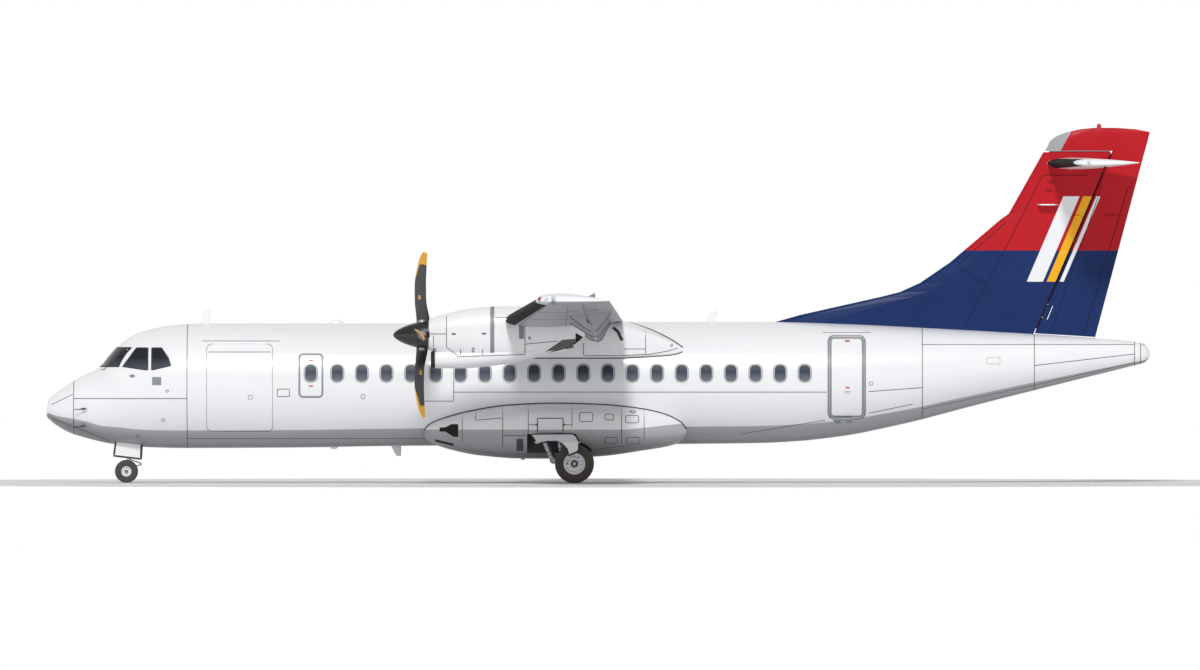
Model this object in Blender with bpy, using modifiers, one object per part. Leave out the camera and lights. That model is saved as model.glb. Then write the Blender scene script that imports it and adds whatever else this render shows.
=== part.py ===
"""A high-wing twin turboprop airliner, parked on its gear, as separate solids in metres.

The nose points to -X, the left side faces -Y and the ground is at Z = 0.
Run with: blender --background --python part.py
"""

import math

import bmesh
import bpy
from mathutils import Matrix, Vector

# Gap between pieces that touch, and the clearance around pieces that move.
SEAT = 0.0004
RUN = 0.012

# Fuselage: crown, keel and half width as (X, value) points, read along the length.
NOSE_X, TAIL_X = -13.585, 13.585
CROWN = [(-13.585, 1.754), (-13.56, 1.95), (-13.49, 2.09), (-13.34, 2.21), (-12.99, 2.456), (-12.50, 2.727),
         (-12.30, 2.813), (-11.96, 3.207), (-11.76, 3.416), (-11.52, 3.588), (-11.27, 3.711), (-11.03, 3.773),
         (-10.53, 3.871), (-9.84, 3.920), (-9.0, 3.925), (-5.0, 3.925), (1.03, 3.957), (4.36, 3.957),
         (6.20, 3.908), (8.42, 3.797), (10.75, 3.662), (12.21, 3.564), (13.20, 3.470), (13.45, 3.40),
         (13.555, 3.28), (13.585, 3.17)]
KEEL = [(-13.585, 1.754), (-13.56, 1.62), (-13.49, 1.546), (-13.34, 1.422), (-12.99, 1.226), (-12.50, 1.078),
        (-12.01, 0.967), (-11.64, 0.930), (-11.03, 0.874), (-10.2, 0.856), (-7.33, 0.869), (-5.12, 0.906),
        (2.02, 0.955), (3.99, 0.979), (4.97, 1.029), (5.46, 1.078), (6.20, 1.176), (6.94, 1.324),
        (7.92, 1.546), (8.66, 1.742), (9.89, 2.062), (11.86, 2.555), (13.20, 2.890), (13.45, 2.96),
        (13.555, 3.07), (13.585, 3.17)]
HALF_WIDTH = [(-13.585, 0.0), (-13.56, 0.17), (-13.49, 0.28), (-13.34, 0.41), (-12.99, 0.62), (-12.50, 0.83),
              (-12.0, 1.00), (-11.5, 1.15), (-11.0, 1.27), (-10.5, 1.36), (-10.0, 1.42), (-9.3, 1.45),
              (4.3, 1.45), (5.4, 1.42), (6.2, 1.37), (7.0, 1.29), (7.9, 1.18), (9.0, 1.02), (10.0, 0.85),
              (11.0, 0.68), (12.0, 0.49), (13.20, 0.27), (13.45, 0.21), (13.555, 0.11), (13.585, 0.0)]
HULL_STATIONS = [-13.56, -13.49, -13.34, -13.15, -12.895, -12.6, -12.40, -12.30, -12.13, -11.96, -11.76,
                 -11.52, -11.27, -10.9, -10.4, -10.095, -9.7, -9.0, -6.67, -5.1, 1.0, 4.4, 5.365, 5.9, 6.6,
                 7.3, 7.972, 8.8, 9.8, 10.73, 11.8, 12.6, 13.20, 13.38, 13.50, 13.56]
HULL_SIDES = 28

# Where the fuselage sections join.
RADOME_X, COCKPIT_X, FORWARD_X, CENTRE_X, REAR_X, AFT_X = -12.895, -10.095, -6.67, 5.365, 7.972, 10.73

# Doors in the fuselage as (X low, X high, Z low, Z high), and the hollows behind them.
CARGO_DOOR = (-9.61, -8.00, 1.272, 3.410)
CARGO_BAY = ((-9.78, -7.84), (-0.88, 0.88), (1.262, 3.400))
PASSENGER_DOOR = (5.675, 6.545, 1.600, 3.600)
SERVICE_DOOR = (5.72, 6.42, 1.850, 3.350)
VESTIBULE = ((5.52, 6.72), (-0.78, 0.78), (1.600, 3.480))
DOOR_THICKNESS, DOOR_GAP, DOOR_CORNER = 0.10, 0.009, 0.13
HINGE_STANDOFF, STAIR_STANDOFF = 0.012, 0.035
FAR_EDGE_LAND, PANE_GAP = 0.002, 0.0015

# Wing: chord line height, leading and trailing edge at the kink and at the tip.
WING_KINK_Y, WING_TIP_Y, WING_FIXED_Y = 4.83, 13.52, 13.08
PANEL_SPAN = WING_FIXED_Y - WING_KINK_Y
ROOT_FOIL = dict(le=-2.25, te=0.60, z=3.985, up=0.295, low=0.145)
TIP_FOIL = dict(le=-1.45, te=0.29, z=4.445, up=0.200, low=0.090)
FLAP_NOSE_ROOT, FLAP_NOSE_TIP = -0.25, -0.37
FLAP_ROOT_Y, FLAP_END_Y, AILERON_ROOT_Y = 1.47, 9.95, 9.99
OUTER_FLAP_AXIS = (-0.05, 2.9, 0.14)

# Fin and tailplane.
FIN_TOP_Z, HORN_Z = 8.137, 8.167
RUDDER_NOSE = ((10.74, 3.674), (12.66, 8.166))
RUDDER_TE = ((12.23, 3.564), (13.585, 8.645))
TAILPLANE_Z, TAILPLANE_HALF, TAILPLANE_FIXED_Y = 7.858, 3.655, 3.34
TAIL_ROOT = dict(le=11.03, te=13.26, z=7.858, up=0.147, low=0.147)
TAIL_TIP = dict(le=11.66, te=13.26, z=7.858, up=0.085, low=0.085)
ELEVATOR_NOSE, ELEVATOR_ROOT_Y = 12.43, 0.44

# Engines and propellers.
NACELLE_Y, PROP_Z, PROP_X = 4.05, 3.637, -4.33
SPINNER_TIP_X = -5.01
SHAFT_RADIUS, SHAFT_END_X = 0.08, -3.5505

# Wheels as (X, Z, radius) and their places across the aircraft.
NOSE_WHEEL = (-11.604, 0.283, 0.283)
NOSE_WHEEL_Y, NOSE_TYRE_WIDTH, NOSE_LEG_X = 0.155, 0.165, -11.572
MAIN_WHEEL = (-0.578, 0.480, 0.480)
MAIN_LEG_Y, MAIN_WHEEL_OFFSET, MAIN_TYRE_WIDTH = 2.05, 0.215, 0.22

WHITE, GREY, DARK = (0.86, 0.87, 0.88), (0.55, 0.56, 0.57), (0.06, 0.06, 0.065)


def clear_scene():
    for obj in list(bpy.data.objects):
        bpy.data.objects.remove(obj, do_unlink=True)
    parts = bpy.data.collections.new("turboprop_airliner")
    bpy.context.scene.collection.children.link(parts)
    return parts


PARTS = clear_scene()


def material(name, colour, roughness=0.4, metallic=0.0, alpha=1.0):
    made = bpy.data.materials.get(name) or bpy.data.materials.new(name)
    made.use_nodes = True
    shader = made.node_tree.nodes["Principled BSDF"]
    shader.inputs["Base Color"].default_value = (*colour, 1.0)
    shader.inputs["Roughness"].default_value = roughness
    shader.inputs["Metallic"].default_value = metallic
    shader.inputs["Alpha"].default_value = alpha
    return made


PAINT = material("white_paint", WHITE, 0.35)
LIGHT_METAL = material("light_alloy", GREY, 0.45, 0.7)
STEEL = material("gear_steel", (0.72, 0.73, 0.74), 0.35, 0.8)
BLACK = material("propeller_black", DARK, 0.4)
RUBBER = material("tyre_rubber", (0.03, 0.027, 0.025), 0.85)
GLASS = material("cockpit_glass", (0.05, 0.06, 0.08), 0.08, 0.0, 0.6)


def place(name, bm, look=PAINT):
    """A bmesh in world coordinates becomes a named part."""
    mesh = bpy.data.meshes.new(name)
    bmesh.ops.recalc_face_normals(bm, faces=bm.faces)
    if bm.calc_volume(signed=True) < 0:
        bmesh.ops.reverse_faces(bm, faces=bm.faces)
    bm.to_mesh(mesh)
    bm.free()
    obj = bpy.data.objects.new(name, mesh)
    PARTS.objects.link(obj)
    mesh.materials.append(look)
    return obj


def settle(obj):
    """Applies the modifiers, so that later cuts see the finished shape."""
    graph = bpy.context.evaluated_depsgraph_get()
    mesh = bpy.data.meshes.new_from_object(obj.evaluated_get(graph))
    obj.modifiers.clear()
    obj.data = mesh


def combine(obj, others, operation):
    """Booleans each helper into obj, then removes the helpers and the slivers that the cut left."""
    for other in others:
        step = obj.modifiers.new(operation.lower(), "BOOLEAN")
        step.operation, step.solver, step.object = operation, "EXACT", other
        settle(obj)
        bm = bmesh.new()
        bm.from_mesh(obj.data)
        bmesh.ops.remove_doubles(bm, verts=bm.verts, dist=0.00002)
        bmesh.ops.dissolve_degenerate(bm, edges=bm.edges, dist=0.00002)
        bm.to_mesh(obj.data)
        bm.free()
        bpy.data.objects.remove(other, do_unlink=True)
    return obj


def cut(obj, *helpers):
    return combine(obj, helpers, "DIFFERENCE")


def join(obj, *helpers):
    return combine(obj, helpers, "UNION")


def keep(obj, *helpers):
    return combine(obj, helpers, "INTERSECT")


def grown(obj, distance):
    """A copy of obj with its skin pushed out, used to cut a seat with an even gap."""
    bm = bmesh.new()
    bm.from_mesh(obj.data)
    bm.transform(obj.matrix_world)
    bmesh.ops.remove_doubles(bm, verts=bm.verts, dist=0.00005)
    bm.normal_update()
    for vert in bm.verts:
        vert.co += vert.normal * distance * min(vert.calc_shell_factor(), 1.6)
    return place("helper", bm)


def mirrored(obj, name):
    """The same part on the other side of the aircraft."""
    bm = bmesh.new()
    bm.from_mesh(obj.data)
    bm.transform(obj.matrix_world)
    bmesh.ops.scale(bm, vec=(1, -1, 1), verts=bm.verts)
    bmesh.ops.reverse_faces(bm, faces=bm.faces)
    return place(name, bm, obj.data.materials[0])


def set_origin(obj, point):
    """Moves the origin onto a joint axis without moving the shape."""
    obj.data.transform(Matrix.Translation(-Vector(point)))
    obj.location = point


def smooth_line(points):
    """A curve through (x, value) points that never overshoots them."""
    xs = [p[0] for p in points]
    vs = [p[1] for p in points]
    slopes = [(vs[i + 1] - vs[i]) / (xs[i + 1] - xs[i]) for i in range(len(xs) - 1)]
    tangents = [slopes[0]]
    for before, after in zip(slopes, slopes[1:]):
        tangents.append(0.0 if before * after <= 0 else 2 * before * after / (before + after))
    tangents.append(slopes[-1])

    def value(x):
        if x <= xs[0]:
            return vs[0]
        if x >= xs[-1]:
            return vs[-1]
        i = max(k for k in range(len(xs) - 1) if xs[k] <= x)
        h = xs[i + 1] - xs[i]
        t = (x - xs[i]) / h
        return (vs[i] * (1 + 2 * t) * (1 - t) ** 2 + vs[i + 1] * t * t * (3 - 2 * t)
                + h * tangents[i] * t * (1 - t) ** 2 - h * tangents[i + 1] * t * t * (1 - t))

    return value


def blend(a, b, t):
    return a + (b - a) * t


def loft(name, rings, look=PAINT):
    """A closed skin over rings of equal length; a ring of one point closes to a tip."""
    bm = bmesh.new()
    rows = [[bm.verts.new(point) for point in ring] for ring in rings]
    for first, second in zip(rows, rows[1:]):
        count = max(len(first), len(second))
        for i in range(count):
            j = (i + 1) % count
            a, b = first[i % len(first)], first[j % len(first)]
            c, d = second[j % len(second)], second[i % len(second)]
            if a is not b:
                bm.faces.new((a, b, c))
            if c is not d:
                bm.faces.new((a, c, d))
    for row in (rows[0], rows[-1]):
        if len(row) > 2:
            bm.faces.new(row)
    return place(name, bm, look)


def box(low, high, name="helper", look=PAINT):
    bm = bmesh.new()
    bmesh.ops.create_cube(bm, size=1.0)
    size = [high[i] - low[i] for i in range(3)]
    centre = [(high[i] + low[i]) / 2 for i in range(3)]
    bmesh.ops.scale(bm, vec=size, verts=bm.verts)
    bmesh.ops.translate(bm, vec=centre, verts=bm.verts)
    return place(name, bm, look)


def rod(start, end, radius, sides=16, name="helper", look=PAINT, end_radius=None):
    """A round bar between two points."""
    start, end = Vector(start), Vector(end)
    run = end - start
    bm = bmesh.new()
    bmesh.ops.create_cone(bm, cap_ends=True, segments=sides, radius1=radius,
                          radius2=radius if end_radius is None else end_radius, depth=run.length)
    turn = run.to_track_quat("Z", "Y").to_matrix().to_4x4()
    bm.transform(Matrix.Translation((start + end) / 2) @ turn)
    return place(name, bm, look)


def slab(outline, low, high, axis="Y", name="helper", look=PAINT):
    """A flat outline extruded along one axis. The outline is (X, Z), (X, Y) or (Y, Z) points."""
    lift = {"Y": lambda a, b, c: (a, c, b), "Z": lambda a, b, c: (a, b, c),
            "X": lambda a, b, c: (c, a, b)}[axis]
    bm = bmesh.new()
    face = bm.faces.new([bm.verts.new(lift(a, b, low)) for a, b in outline])
    made = bmesh.ops.extrude_face_region(bm, geom=[face])
    step = {"X": (high - low, 0, 0), "Y": (0, high - low, 0), "Z": (0, 0, high - low)}[axis]
    moved = [item for item in made["geom"] if isinstance(item, bmesh.types.BMVert)]
    bmesh.ops.translate(bm, vec=step, verts=moved)
    return place(name, bm, look)


def bar(start, end, half_width, reach):
    """A flat bar as wide as the run from start to end, which leaves it in the direction of reach."""
    start, end, reach = Vector(start), Vector(end), Vector(reach)
    side = (end - start).normalized().cross(reach).normalized() * half_width
    near = [start + side, start - side, end - side, end + side]
    return loft("helper", [near, [point + reach for point in near]])


def rounded(x0, x1, z0, z1, radius, steps=3):
    """A rectangle with round corners, as outline points."""
    points = []
    for cx, cz, start in ((x1 - radius, z1 - radius, 0), (x0 + radius, z1 - radius, 90),
                          (x0 + radius, z0 + radius, 180), (x1 - radius, z0 + radius, 270)):
        for i in range(steps + 1):
            angle = math.radians(start + 90 * i / steps)
            points.append((cx + radius * math.cos(angle), cz + radius * math.sin(angle)))
    return points


def turned(name, profile, steps, centre, look, axis="Y"):
    """A profile of (radius, height) turned round an axis; its outer side runs top to bottom."""
    mesh = bpy.data.meshes.new(name)
    mesh.from_pydata([(r, 0, h) for r, h in profile], [(i, i + 1) for i in range(len(profile) - 1)], [])
    obj = bpy.data.objects.new(name, mesh)
    PARTS.objects.link(obj)
    screw = obj.modifiers.new("turn", "SCREW")
    screw.steps = screw.render_steps = steps
    screw.use_merge_vertices = True
    screw.merge_threshold = 0.0001
    settle(obj)
    bm = bmesh.new()
    bm.from_mesh(obj.data)
    bmesh.ops.remove_doubles(bm, verts=bm.verts, dist=0.0001)
    if axis == "Y":
        bm.transform(Matrix.Rotation(math.radians(-90), 4, "X"))
    if axis == "X":
        bm.transform(Matrix.Rotation(math.radians(90), 4, "Y"))
    bm.transform(Matrix.Translation(centre))
    bpy.data.objects.remove(obj, do_unlink=True)
    return place(name, bm, look)


CROWN_AT, KEEL_AT, WIDTH_AT = smooth_line(CROWN), smooth_line(KEEL), smooth_line(HALF_WIDTH)


def hull_ring(x, offset=0.0):
    """One cross section of the fuselage, an oval between crown and keel."""
    top, low, half = CROWN_AT(x) + offset, KEEL_AT(x) - offset, WIDTH_AT(x) + offset
    middle, rise = (top + low) / 2, (top - low) / 2
    ring = []
    for i in range(HULL_SIDES):
        angle = 2 * math.pi * i / HULL_SIDES
        ring.append((x, half * math.sin(angle), middle + rise * math.cos(angle)))
    return ring


def hull(x0, x1, offset=0.0, name="helper"):
    """The fuselage skin between two stations, or out to its nose or tail tip."""
    inner = [x for x in HULL_STATIONS if x0 + 0.03 < x < x1 - 0.03]
    rings = [hull_ring(x, offset) for x in inner]
    ends = []
    for x, tip in ((x0, x0 <= NOSE_X), (x1, x1 >= TAIL_X)):
        step = -offset if x == x0 else offset
        ends.append([(x + step, 0.0, CROWN_AT(x))] if tip else hull_ring(x, offset))
    return loft(name, [ends[0], *rings, ends[1]])


def skin_y(x, z):
    """Half width of the fuselage at a height."""
    top, low = CROWN_AT(x), KEEL_AT(x)
    share = (z - (top + low) / 2) / ((top - low) / 2)
    return WIDTH_AT(x) * math.sqrt(max(0.0, 1 - share * share))


def hinge_line(fixed, moving, start, end, radius, count, fixed_arm=None, moving_arm=None):
    """Interleaved knuckles along an axis, the odd ones on the fixed piece, with cleared seats."""
    start, end = Vector(start), Vector(end)
    inset = (end - start).normalized() * 0.0003
    knuckles = []
    for i in range(count):
        a = start.lerp(end, i / count)
        b = start.lerp(end, (i + 1) / count)
        owner, other, arm = (fixed, moving, fixed_arm) if i % 2 == 0 else (moving, fixed, moving_arm)
        knuckles.append((owner, a, b, arm))
        cut(other, rod(a, b, radius + 0.006, 10))
        if arm:
            cut(other, bar(a + inset * 4, b - inset * 4, radius * 0.8 + 0.006, Vector(arm) * 1.15))
    for owner, a, b, arm in knuckles:
        if arm:
            join(owner, bar(a + inset * 8, b - inset * 8, radius * 0.8, arm))
        join(owner, rod(a + inset, b - inset, radius, 10))


def fuselage():
    """Six sections, split where the panels meet."""
    made = {
        "radome": hull(NOSE_X, RADOME_X - SEAT, name="radome"),
        "cockpit_section": hull(RADOME_X, COCKPIT_X - SEAT, name="cockpit_section"),
        "forward_fuselage": hull(COCKPIT_X, FORWARD_X - SEAT, name="forward_fuselage"),
        "centre_fuselage": hull(FORWARD_X, CENTRE_X - SEAT, name="centre_fuselage"),
        "rear_fuselage": hull(CENTRE_X, REAR_X - SEAT, name="rear_fuselage"),
        "aft_fuselage": hull(REAR_X, AFT_X - SEAT, name="aft_fuselage"),
        "tail_cone": hull(AFT_X, TAIL_X, name="tail_cone"),
    }
    bay, hall = CARGO_BAY, VESTIBULE
    cut(made["forward_fuselage"], box(*zip(*bay)))
    cut(made["rear_fuselage"], box(*zip(*hall)))
    return made


def fuselage_door(name, section, span, frame, side, inside_y):
    """A curved plug of the fuselage wall and the hole that it fills, with a running gap."""
    x0, x1, z0, z1 = frame
    reach = sorted((side * 1.7, side * inside_y))
    door = hull(*span, name=name)
    cut(door, hull(span[0] - 0.4, span[1] + 0.4, -DOOR_THICKNESS))
    keep(door, slab(rounded(x0, x1, z0, z1, DOOR_CORNER), *reach))
    hole = rounded(x0 - DOOR_GAP, x1 + DOOR_GAP, z0 - DOOR_GAP, z1 + DOOR_GAP, DOOR_CORNER)
    cut(section, slab(hole, *reach))
    return door


def swing_relief(door, hinge, far_at, low, high, axis="X"):
    """Rounds the edge far from the hinge about it, so that it clears the hole as the door swings.

    far_at gives the edge's place from a place along it and how far a round corner draws it in there.
    """
    lift = {"X": lambda at, u, v: (at, u, v), "Z": lambda at, u, v: (u, v, at)}[axis]
    hinge = Vector(hinge)
    near = (-0.1, 0.0, 0.012, 0.04, 0.08, DOOR_CORNER)
    middle_steps = [blend(low, high, share) for share in (0.3, 0.5, 0.7)]
    rings = []
    for at in [low + step for step in near] + middle_steps + [high - step for step in reversed(near)]:
        past = min(DOOR_CORNER, max(0.0, low + DOOR_CORNER - at, at - high + DOOR_CORNER))
        inset = DOOR_CORNER - math.sqrt(DOOR_CORNER**2 - past**2)
        edge = Vector(far_at(at, inset)) - hinge
        radius, middle = edge.length + FAR_EDGE_LAND, math.atan2(edge.y, edge.x)
        turns = [-50, -30, *range(-16, 17, 2), 30, 50]
        arc = [hinge + radius * Vector((math.cos(middle + t), math.sin(middle + t)))
               for t in map(math.radians, turns)]
        behind = hinge - 1.2 * edge.normalized()
        rings.append([lift(at, *point) for point in [*arc, behind]])
    keep(door, loft("helper", rings))


def doors(body):
    """Cargo door on the front left, airstair door on the rear left, service door on the rear right."""
    front, rear = body["forward_fuselage"], body["rear_fuselage"]
    x0, x1, z0, z1 = CARGO_DOOR
    cargo = fuselage_door("cargo_door", front, (COCKPIT_X, FORWARD_X), CARGO_DOOR, -1, 0.86)
    axis_z = z1 + 0.025
    axis_y = -skin_y(-8.8, axis_z) - HINGE_STANDOFF
    swing_relief(cargo, (axis_y, axis_z), lambda x, inset: (-skin_y(x, z0 + inset), z0 + inset), x0, x1)
    hinge_line(front, cargo, (x0 + 0.16, axis_y, axis_z), (x1 - 0.16, axis_y, axis_z), 0.030, 3)
    set_origin(cargo, (x0, axis_y, axis_z))

    x0, x1, z0, z1 = PASSENGER_DOOR
    stair = fuselage_door("passenger_door", rear, (CENTRE_X, REAR_X), PASSENGER_DOOR, -1, 0.76)
    axis_z = z0 - 0.028
    axis_y = -skin_y(x0 + 0.10, axis_z) - STAIR_STANDOFF
    swing_relief(stair, (axis_y, axis_z), lambda x, inset: (-skin_y(x, z1 - inset), z1 - inset), x0, x1)
    start, end = (x0 + 0.10, axis_y, axis_z), (x1 - 0.30, axis_y, axis_z)
    hinge_line(rear, stair, start, end, 0.034, 3, (0, 0.24, -0.10), (0, 0.16, 0.12))
    set_origin(stair, start)

    x0, x1, z0, z1 = SERVICE_DOOR
    service = fuselage_door("service_door", rear, (CENTRE_X, REAR_X), SERVICE_DOOR, 1, 0.76)
    axis_x = x0 - 0.028
    axis_y = skin_y(axis_x, 2.5) + HINGE_STANDOFF
    swing_relief(service, (axis_x, axis_y), lambda z, inset: (x1 - inset, skin_y(x1 - inset, z)), z0, z1, "Z")
    hinge_line(rear, service, (axis_x, axis_y, 2.2), (axis_x, axis_y, 2.8), 0.034, 3,
               (-0.08, -0.06, 0), (0.08, -0.07, 0))
    set_origin(service, (axis_x, axis_y, z0))


def cockpit_windows(cockpit):
    """Three panes a side, each let into a pocket in the skin."""
    panes = {
        "windshield": [(-11.78, 3.317), (-11.44, 3.317), (-11.76, 2.862), (-12.17, 2.862)],
        "cockpit_side_window": [(-11.35, 3.317), (-11.06, 3.317), (-11.06, 2.776), (-11.68, 2.862)],
        "cockpit_rear_window": [(-10.96, 3.317), (-10.73, 3.317), (-10.56, 3.071), (-10.50, 2.887),
                                (-10.96, 2.776)],
    }
    depth = 0.03
    for name, outline in panes.items():
        for side, word in ((-1, "left"), (1, "right")):
            reach = sorted((side * 0.03, side * 1.6))
            pane = hull(-12.895, -10.095, 0.0, name=f"{name}_{word}")
            cut(pane, hull(-13.15, -9.7, -depth))
            keep(pane, slab(outline, *reach))
            pocket = hull(-12.895, -10.095, 0.02)
            cut(pocket, hull(-13.15, -9.7, -depth - SEAT))
            middle = Vector((sum(p[0] for p in outline), sum(p[1] for p in outline))) / len(outline)
            spokes = [Vector(p) - middle for p in outline]
            wide = [middle + spoke * (1 + PANE_GAP / spoke.length) for spoke in spokes]
            keep(pocket, slab([tuple(p) for p in wide], *sorted((side * 0.0296, side * 1.6))))
            cut(cockpit, pocket)
            pane.data.materials.clear()
            pane.data.materials.append(GLASS)


def foil_ring(foil, x0, x1, lift, count=5):
    """A foil section between x0 and x1; it has a round nose unless x0 is the leading edge."""
    chord = foil["te"] - foil["le"]

    def half(x, scale):
        s = min(max((x - foil["le"]) / chord, 0.0), 1.0)
        shape = (0.2969 * math.sqrt(s) - 0.126 * s - 0.3516 * s**2 + 0.2843 * s**3 - 0.1036 * s**4) / 0.1
        return scale * shape + 0.004 * s

    whole_nose = x0 <= foil["le"] + 1e-6
    start, nose = x0, []
    if not whole_nose:
        radius = (half(x0, foil["up"]) + half(x0, foil["low"])) / 2
        for _ in range(3):
            radius = (half(x0 + radius, foil["up"]) + half(x0 + radius, foil["low"])) / 2
        start = x0 + radius
        level = (half(start, foil["up"]) - half(start, foil["low"])) / 2
        for i in range(1, 4):
            angle = math.radians(90 + 45 * i)
            nose.append((start + radius * math.cos(angle), level + radius * math.sin(angle)))
    else:
        nose = [(x0, 0.0)]
    shares = [1 - math.cos(math.pi / 2 * i / count) for i in range(1, count + 1)] if whole_nose else \
             [i / 3 for i in range(4)]
    xs = [start + (x1 - start) * s for s in shares]
    upper = [(x, half(x, foil["up"])) for x in reversed(xs)]
    lower = [(x, -half(x, foil["low"])) for x in xs]
    return [lift(x, t) for x, t in upper + nose + lower]


def mixed(a, b, t):
    """The foil a share t of the way from a to b."""
    return {key: blend(a[key], b[key], t) for key in a}


def wing_foil(y):
    """The wing's section at a distance y from the centre line."""
    return mixed(ROOT_FOIL, TIP_FOIL, max(0.0, (abs(y) - WING_KINK_Y) / PANEL_SPAN))


def flap_nose(y):
    return blend(FLAP_NOSE_ROOT, FLAP_NOSE_TIP, max(0.0, (abs(y) - WING_KINK_Y) / PANEL_SPAN))


def wing_rings(ys, x0=None, x1=None):
    rings = []
    for y in ys:
        foil = wing_foil(y)
        front = foil["le"] if x0 is None else x0(y)
        back = foil["te"] if x1 is None else x1(y)
        rings.append(foil_ring(foil, front, back, lambda x, t, y=y, z=foil["z"]: (x, y, z + t)))
    return rings


def nose_centre(y):
    """The centre of a flap's or aileron's round nose."""
    ring = wing_rings([y], flap_nose)[0]
    front = min(ring, key=lambda p: p[0])
    return Vector((front[0] + (max(p[2] for p in ring) - min(p[2] for p in ring)) / 2, y, front[2]))


def hinge_tab(fixed, moving, point, axis, nose_radius, width, back, forward=(-1, 0, 0)):
    """A tab on the fixed piece that reaches the hinge line through a slot in the moving piece."""
    point, axis, forward = Vector(point), Vector(axis).normalized(), Vector(forward)
    forward = (forward - axis * forward.dot(axis)).normalized()
    half = axis * width / 2
    spare = axis * 0.0005
    thick = nose_radius * 0.55
    cut(moving, rod(point - half - spare, point + half + spare, nose_radius + RUN, 12))
    join(fixed, rod(point - half, point + half, thick, 8))
    join(fixed, bar(point - half * 0.95, point + half * 0.95, thick * 0.9, forward * back))


def canoe(y, x0, x1, drop_x, drop_z):
    """A slim fairing under the wing that runs down to a dropped hinge."""
    foil = wing_foil(y)
    top = foil["z"] - 0.02
    outline = [(x0, top), (x0 + 0.12, top - 0.12), (drop_x - 0.16, drop_z + 0.02), (drop_x, drop_z - 0.035),
               (drop_x + 0.12, drop_z + 0.02), (x1 - 0.06, top - 0.10), (x1, top)]
    return outline


def flap_hinge(wing, flap, y, drop_z, hinge_x, axis):
    """Splits one fairing between wing and flap at the dropped hinge, and ties them with a tab."""
    half = 0.045
    outline = canoe(y, -0.80, 0.34, hinge_x, drop_z)
    disc = 0.05
    front = slab(outline, y - half, y + half)
    under = flap_nose(y) + 0.012
    cut(front, box((hinge_x - disc - RUN, y - 1, 3.0), (2, y + 1, 5.0)))
    cut(front, grown(flap, 0.016))
    wedge = slab([(under - 0.03, 4.4), (under - 0.03, 3.98), (hinge_x - 0.02, drop_z + 0.14),
                  (2, drop_z + 0.14), (2, 4.4)], y - 1, y + 1)
    cut(front, wedge)
    rear = slab(outline, y - half, y + half)
    split = hinge_x + 0.003
    low_cut = slab([(-2, 5), (-2, 3), (split, 3), (split, drop_z + 0.01), (under + 0.12, 3.98),
                    (under + 0.12, 5)], y - 1, y + 1)
    cut(rear, low_cut)
    join(rear, rod((hinge_x, y - half, drop_z), (hinge_x, y + half, drop_z), 0.034, 12))
    join(flap, rear)
    join(wing, front)
    hinge_tab(wing, flap, (hinge_x, y, drop_z), axis, 0.034, 0.03, 0.12, (-1, 0, 0.25))


def wing():
    """Centre section with the inner flaps, then each outer wing with its flap and aileron."""
    centre = loft("wing_centre", wing_rings([-WING_KINK_Y, WING_KINK_Y]))
    for side in (-1, 1):
        bay_y = sorted((side * (FLAP_ROOT_Y - 0.02), side * 6))
        cut(centre, box((FLAP_NOSE_ROOT - RUN, bay_y[0], 3), (2, bay_y[1], 5)))
    cut(centre, hull(FORWARD_X, CENTRE_X, SEAT))
    flap = loft("flap_inner_right", wing_rings([FLAP_ROOT_Y, WING_KINK_Y - 0.02], flap_nose), LIGHT_METAL)
    left = mirrored(flap, "flap_inner_left")
    for side, piece in ((1, flap), (-1, left)):
        for y in (2.15, 4.05):
            flap_hinge(centre, piece, side * y, 3.49, -0.02, (0, 1, 0))
        set_origin(piece, (-0.02, side * FLAP_ROOT_Y, 3.49))

    gap = 0.014
    rings = wing_rings([WING_KINK_Y + SEAT, 8.9, WING_FIXED_Y], None, lambda y: flap_nose(y) - gap)
    rings += wing_rings([WING_FIXED_Y + 0.005, 13.30], None, lambda y: -1.12)
    tip = dict(le=-1.38, te=0.29, z=4.46, up=0.14, low=0.06)
    rings.append(foil_ring(tip, -1.38, -1.12, lambda x, t: (x, 13.44, 4.46 + t)))
    right = loft("wing_right", rings)
    outer = loft("flap_outer_right", wing_rings([WING_KINK_Y + 0.02, FLAP_END_Y], flap_nose), LIGHT_METAL)
    horn_y, horn_x = WING_FIXED_Y + 0.025, -1.095
    rings = wing_rings([AILERON_ROOT_Y, WING_FIXED_Y + 0.02], flap_nose)
    rings.append(foil_ring(wing_foil(horn_y), horn_x, 0.29, lambda x, t: (x, horn_y, 4.445 + t)))
    tip = dict(le=-1.42, te=0.28, z=4.46, up=0.17, low=0.075)
    rings.append(foil_ring(tip, horn_x, 0.28, lambda x, t: (x, 13.36, 4.46 + t)))
    rings.append(foil_ring(dict(tip, up=0.10, low=0.04), -1.03, 0.25, lambda x, t: (x, WING_TIP_Y, 4.47 + t)))
    aileron = loft("aileron_right", rings)

    for y, x, z in ((6.0, -0.06, 3.60), (8.9, -0.11, 3.74)):
        flap_hinge(right, outer, y, z, x, OUTER_FLAP_AXIS)
    a, b = nose_centre(AILERON_ROOT_Y), nose_centre(WING_FIXED_Y)
    axis = b - a
    for share in (0.12, 0.5, 0.88):
        point = a.lerp(b, share)
        radius = (wing_foil(point.y)["up"] + wing_foil(point.y)["low"]) * 0.30
        hinge_tab(right, aileron, point, axis, radius, 0.06, radius + 0.06)
    made = {"wing": right, "flap": outer, "aileron": aileron}
    for name, piece in made.items():
        other = {"wing": "wing_left", "flap": "flap_outer_left", "aileron": "aileron_left"}[name]
        made[name] = (piece, mirrored(piece, other))
    for piece, side in zip(made["flap"], (1, -1)):
        set_origin(piece, (-0.06, side * 6.0, 3.60))
    for piece, side in zip(made["aileron"], (1, -1)):
        set_origin(piece, (a.x, side * a.y, a.z))
    return centre


def fin_foil(le, te, half):
    return dict(le=le, te=te, z=0.0, up=half, low=half)


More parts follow.
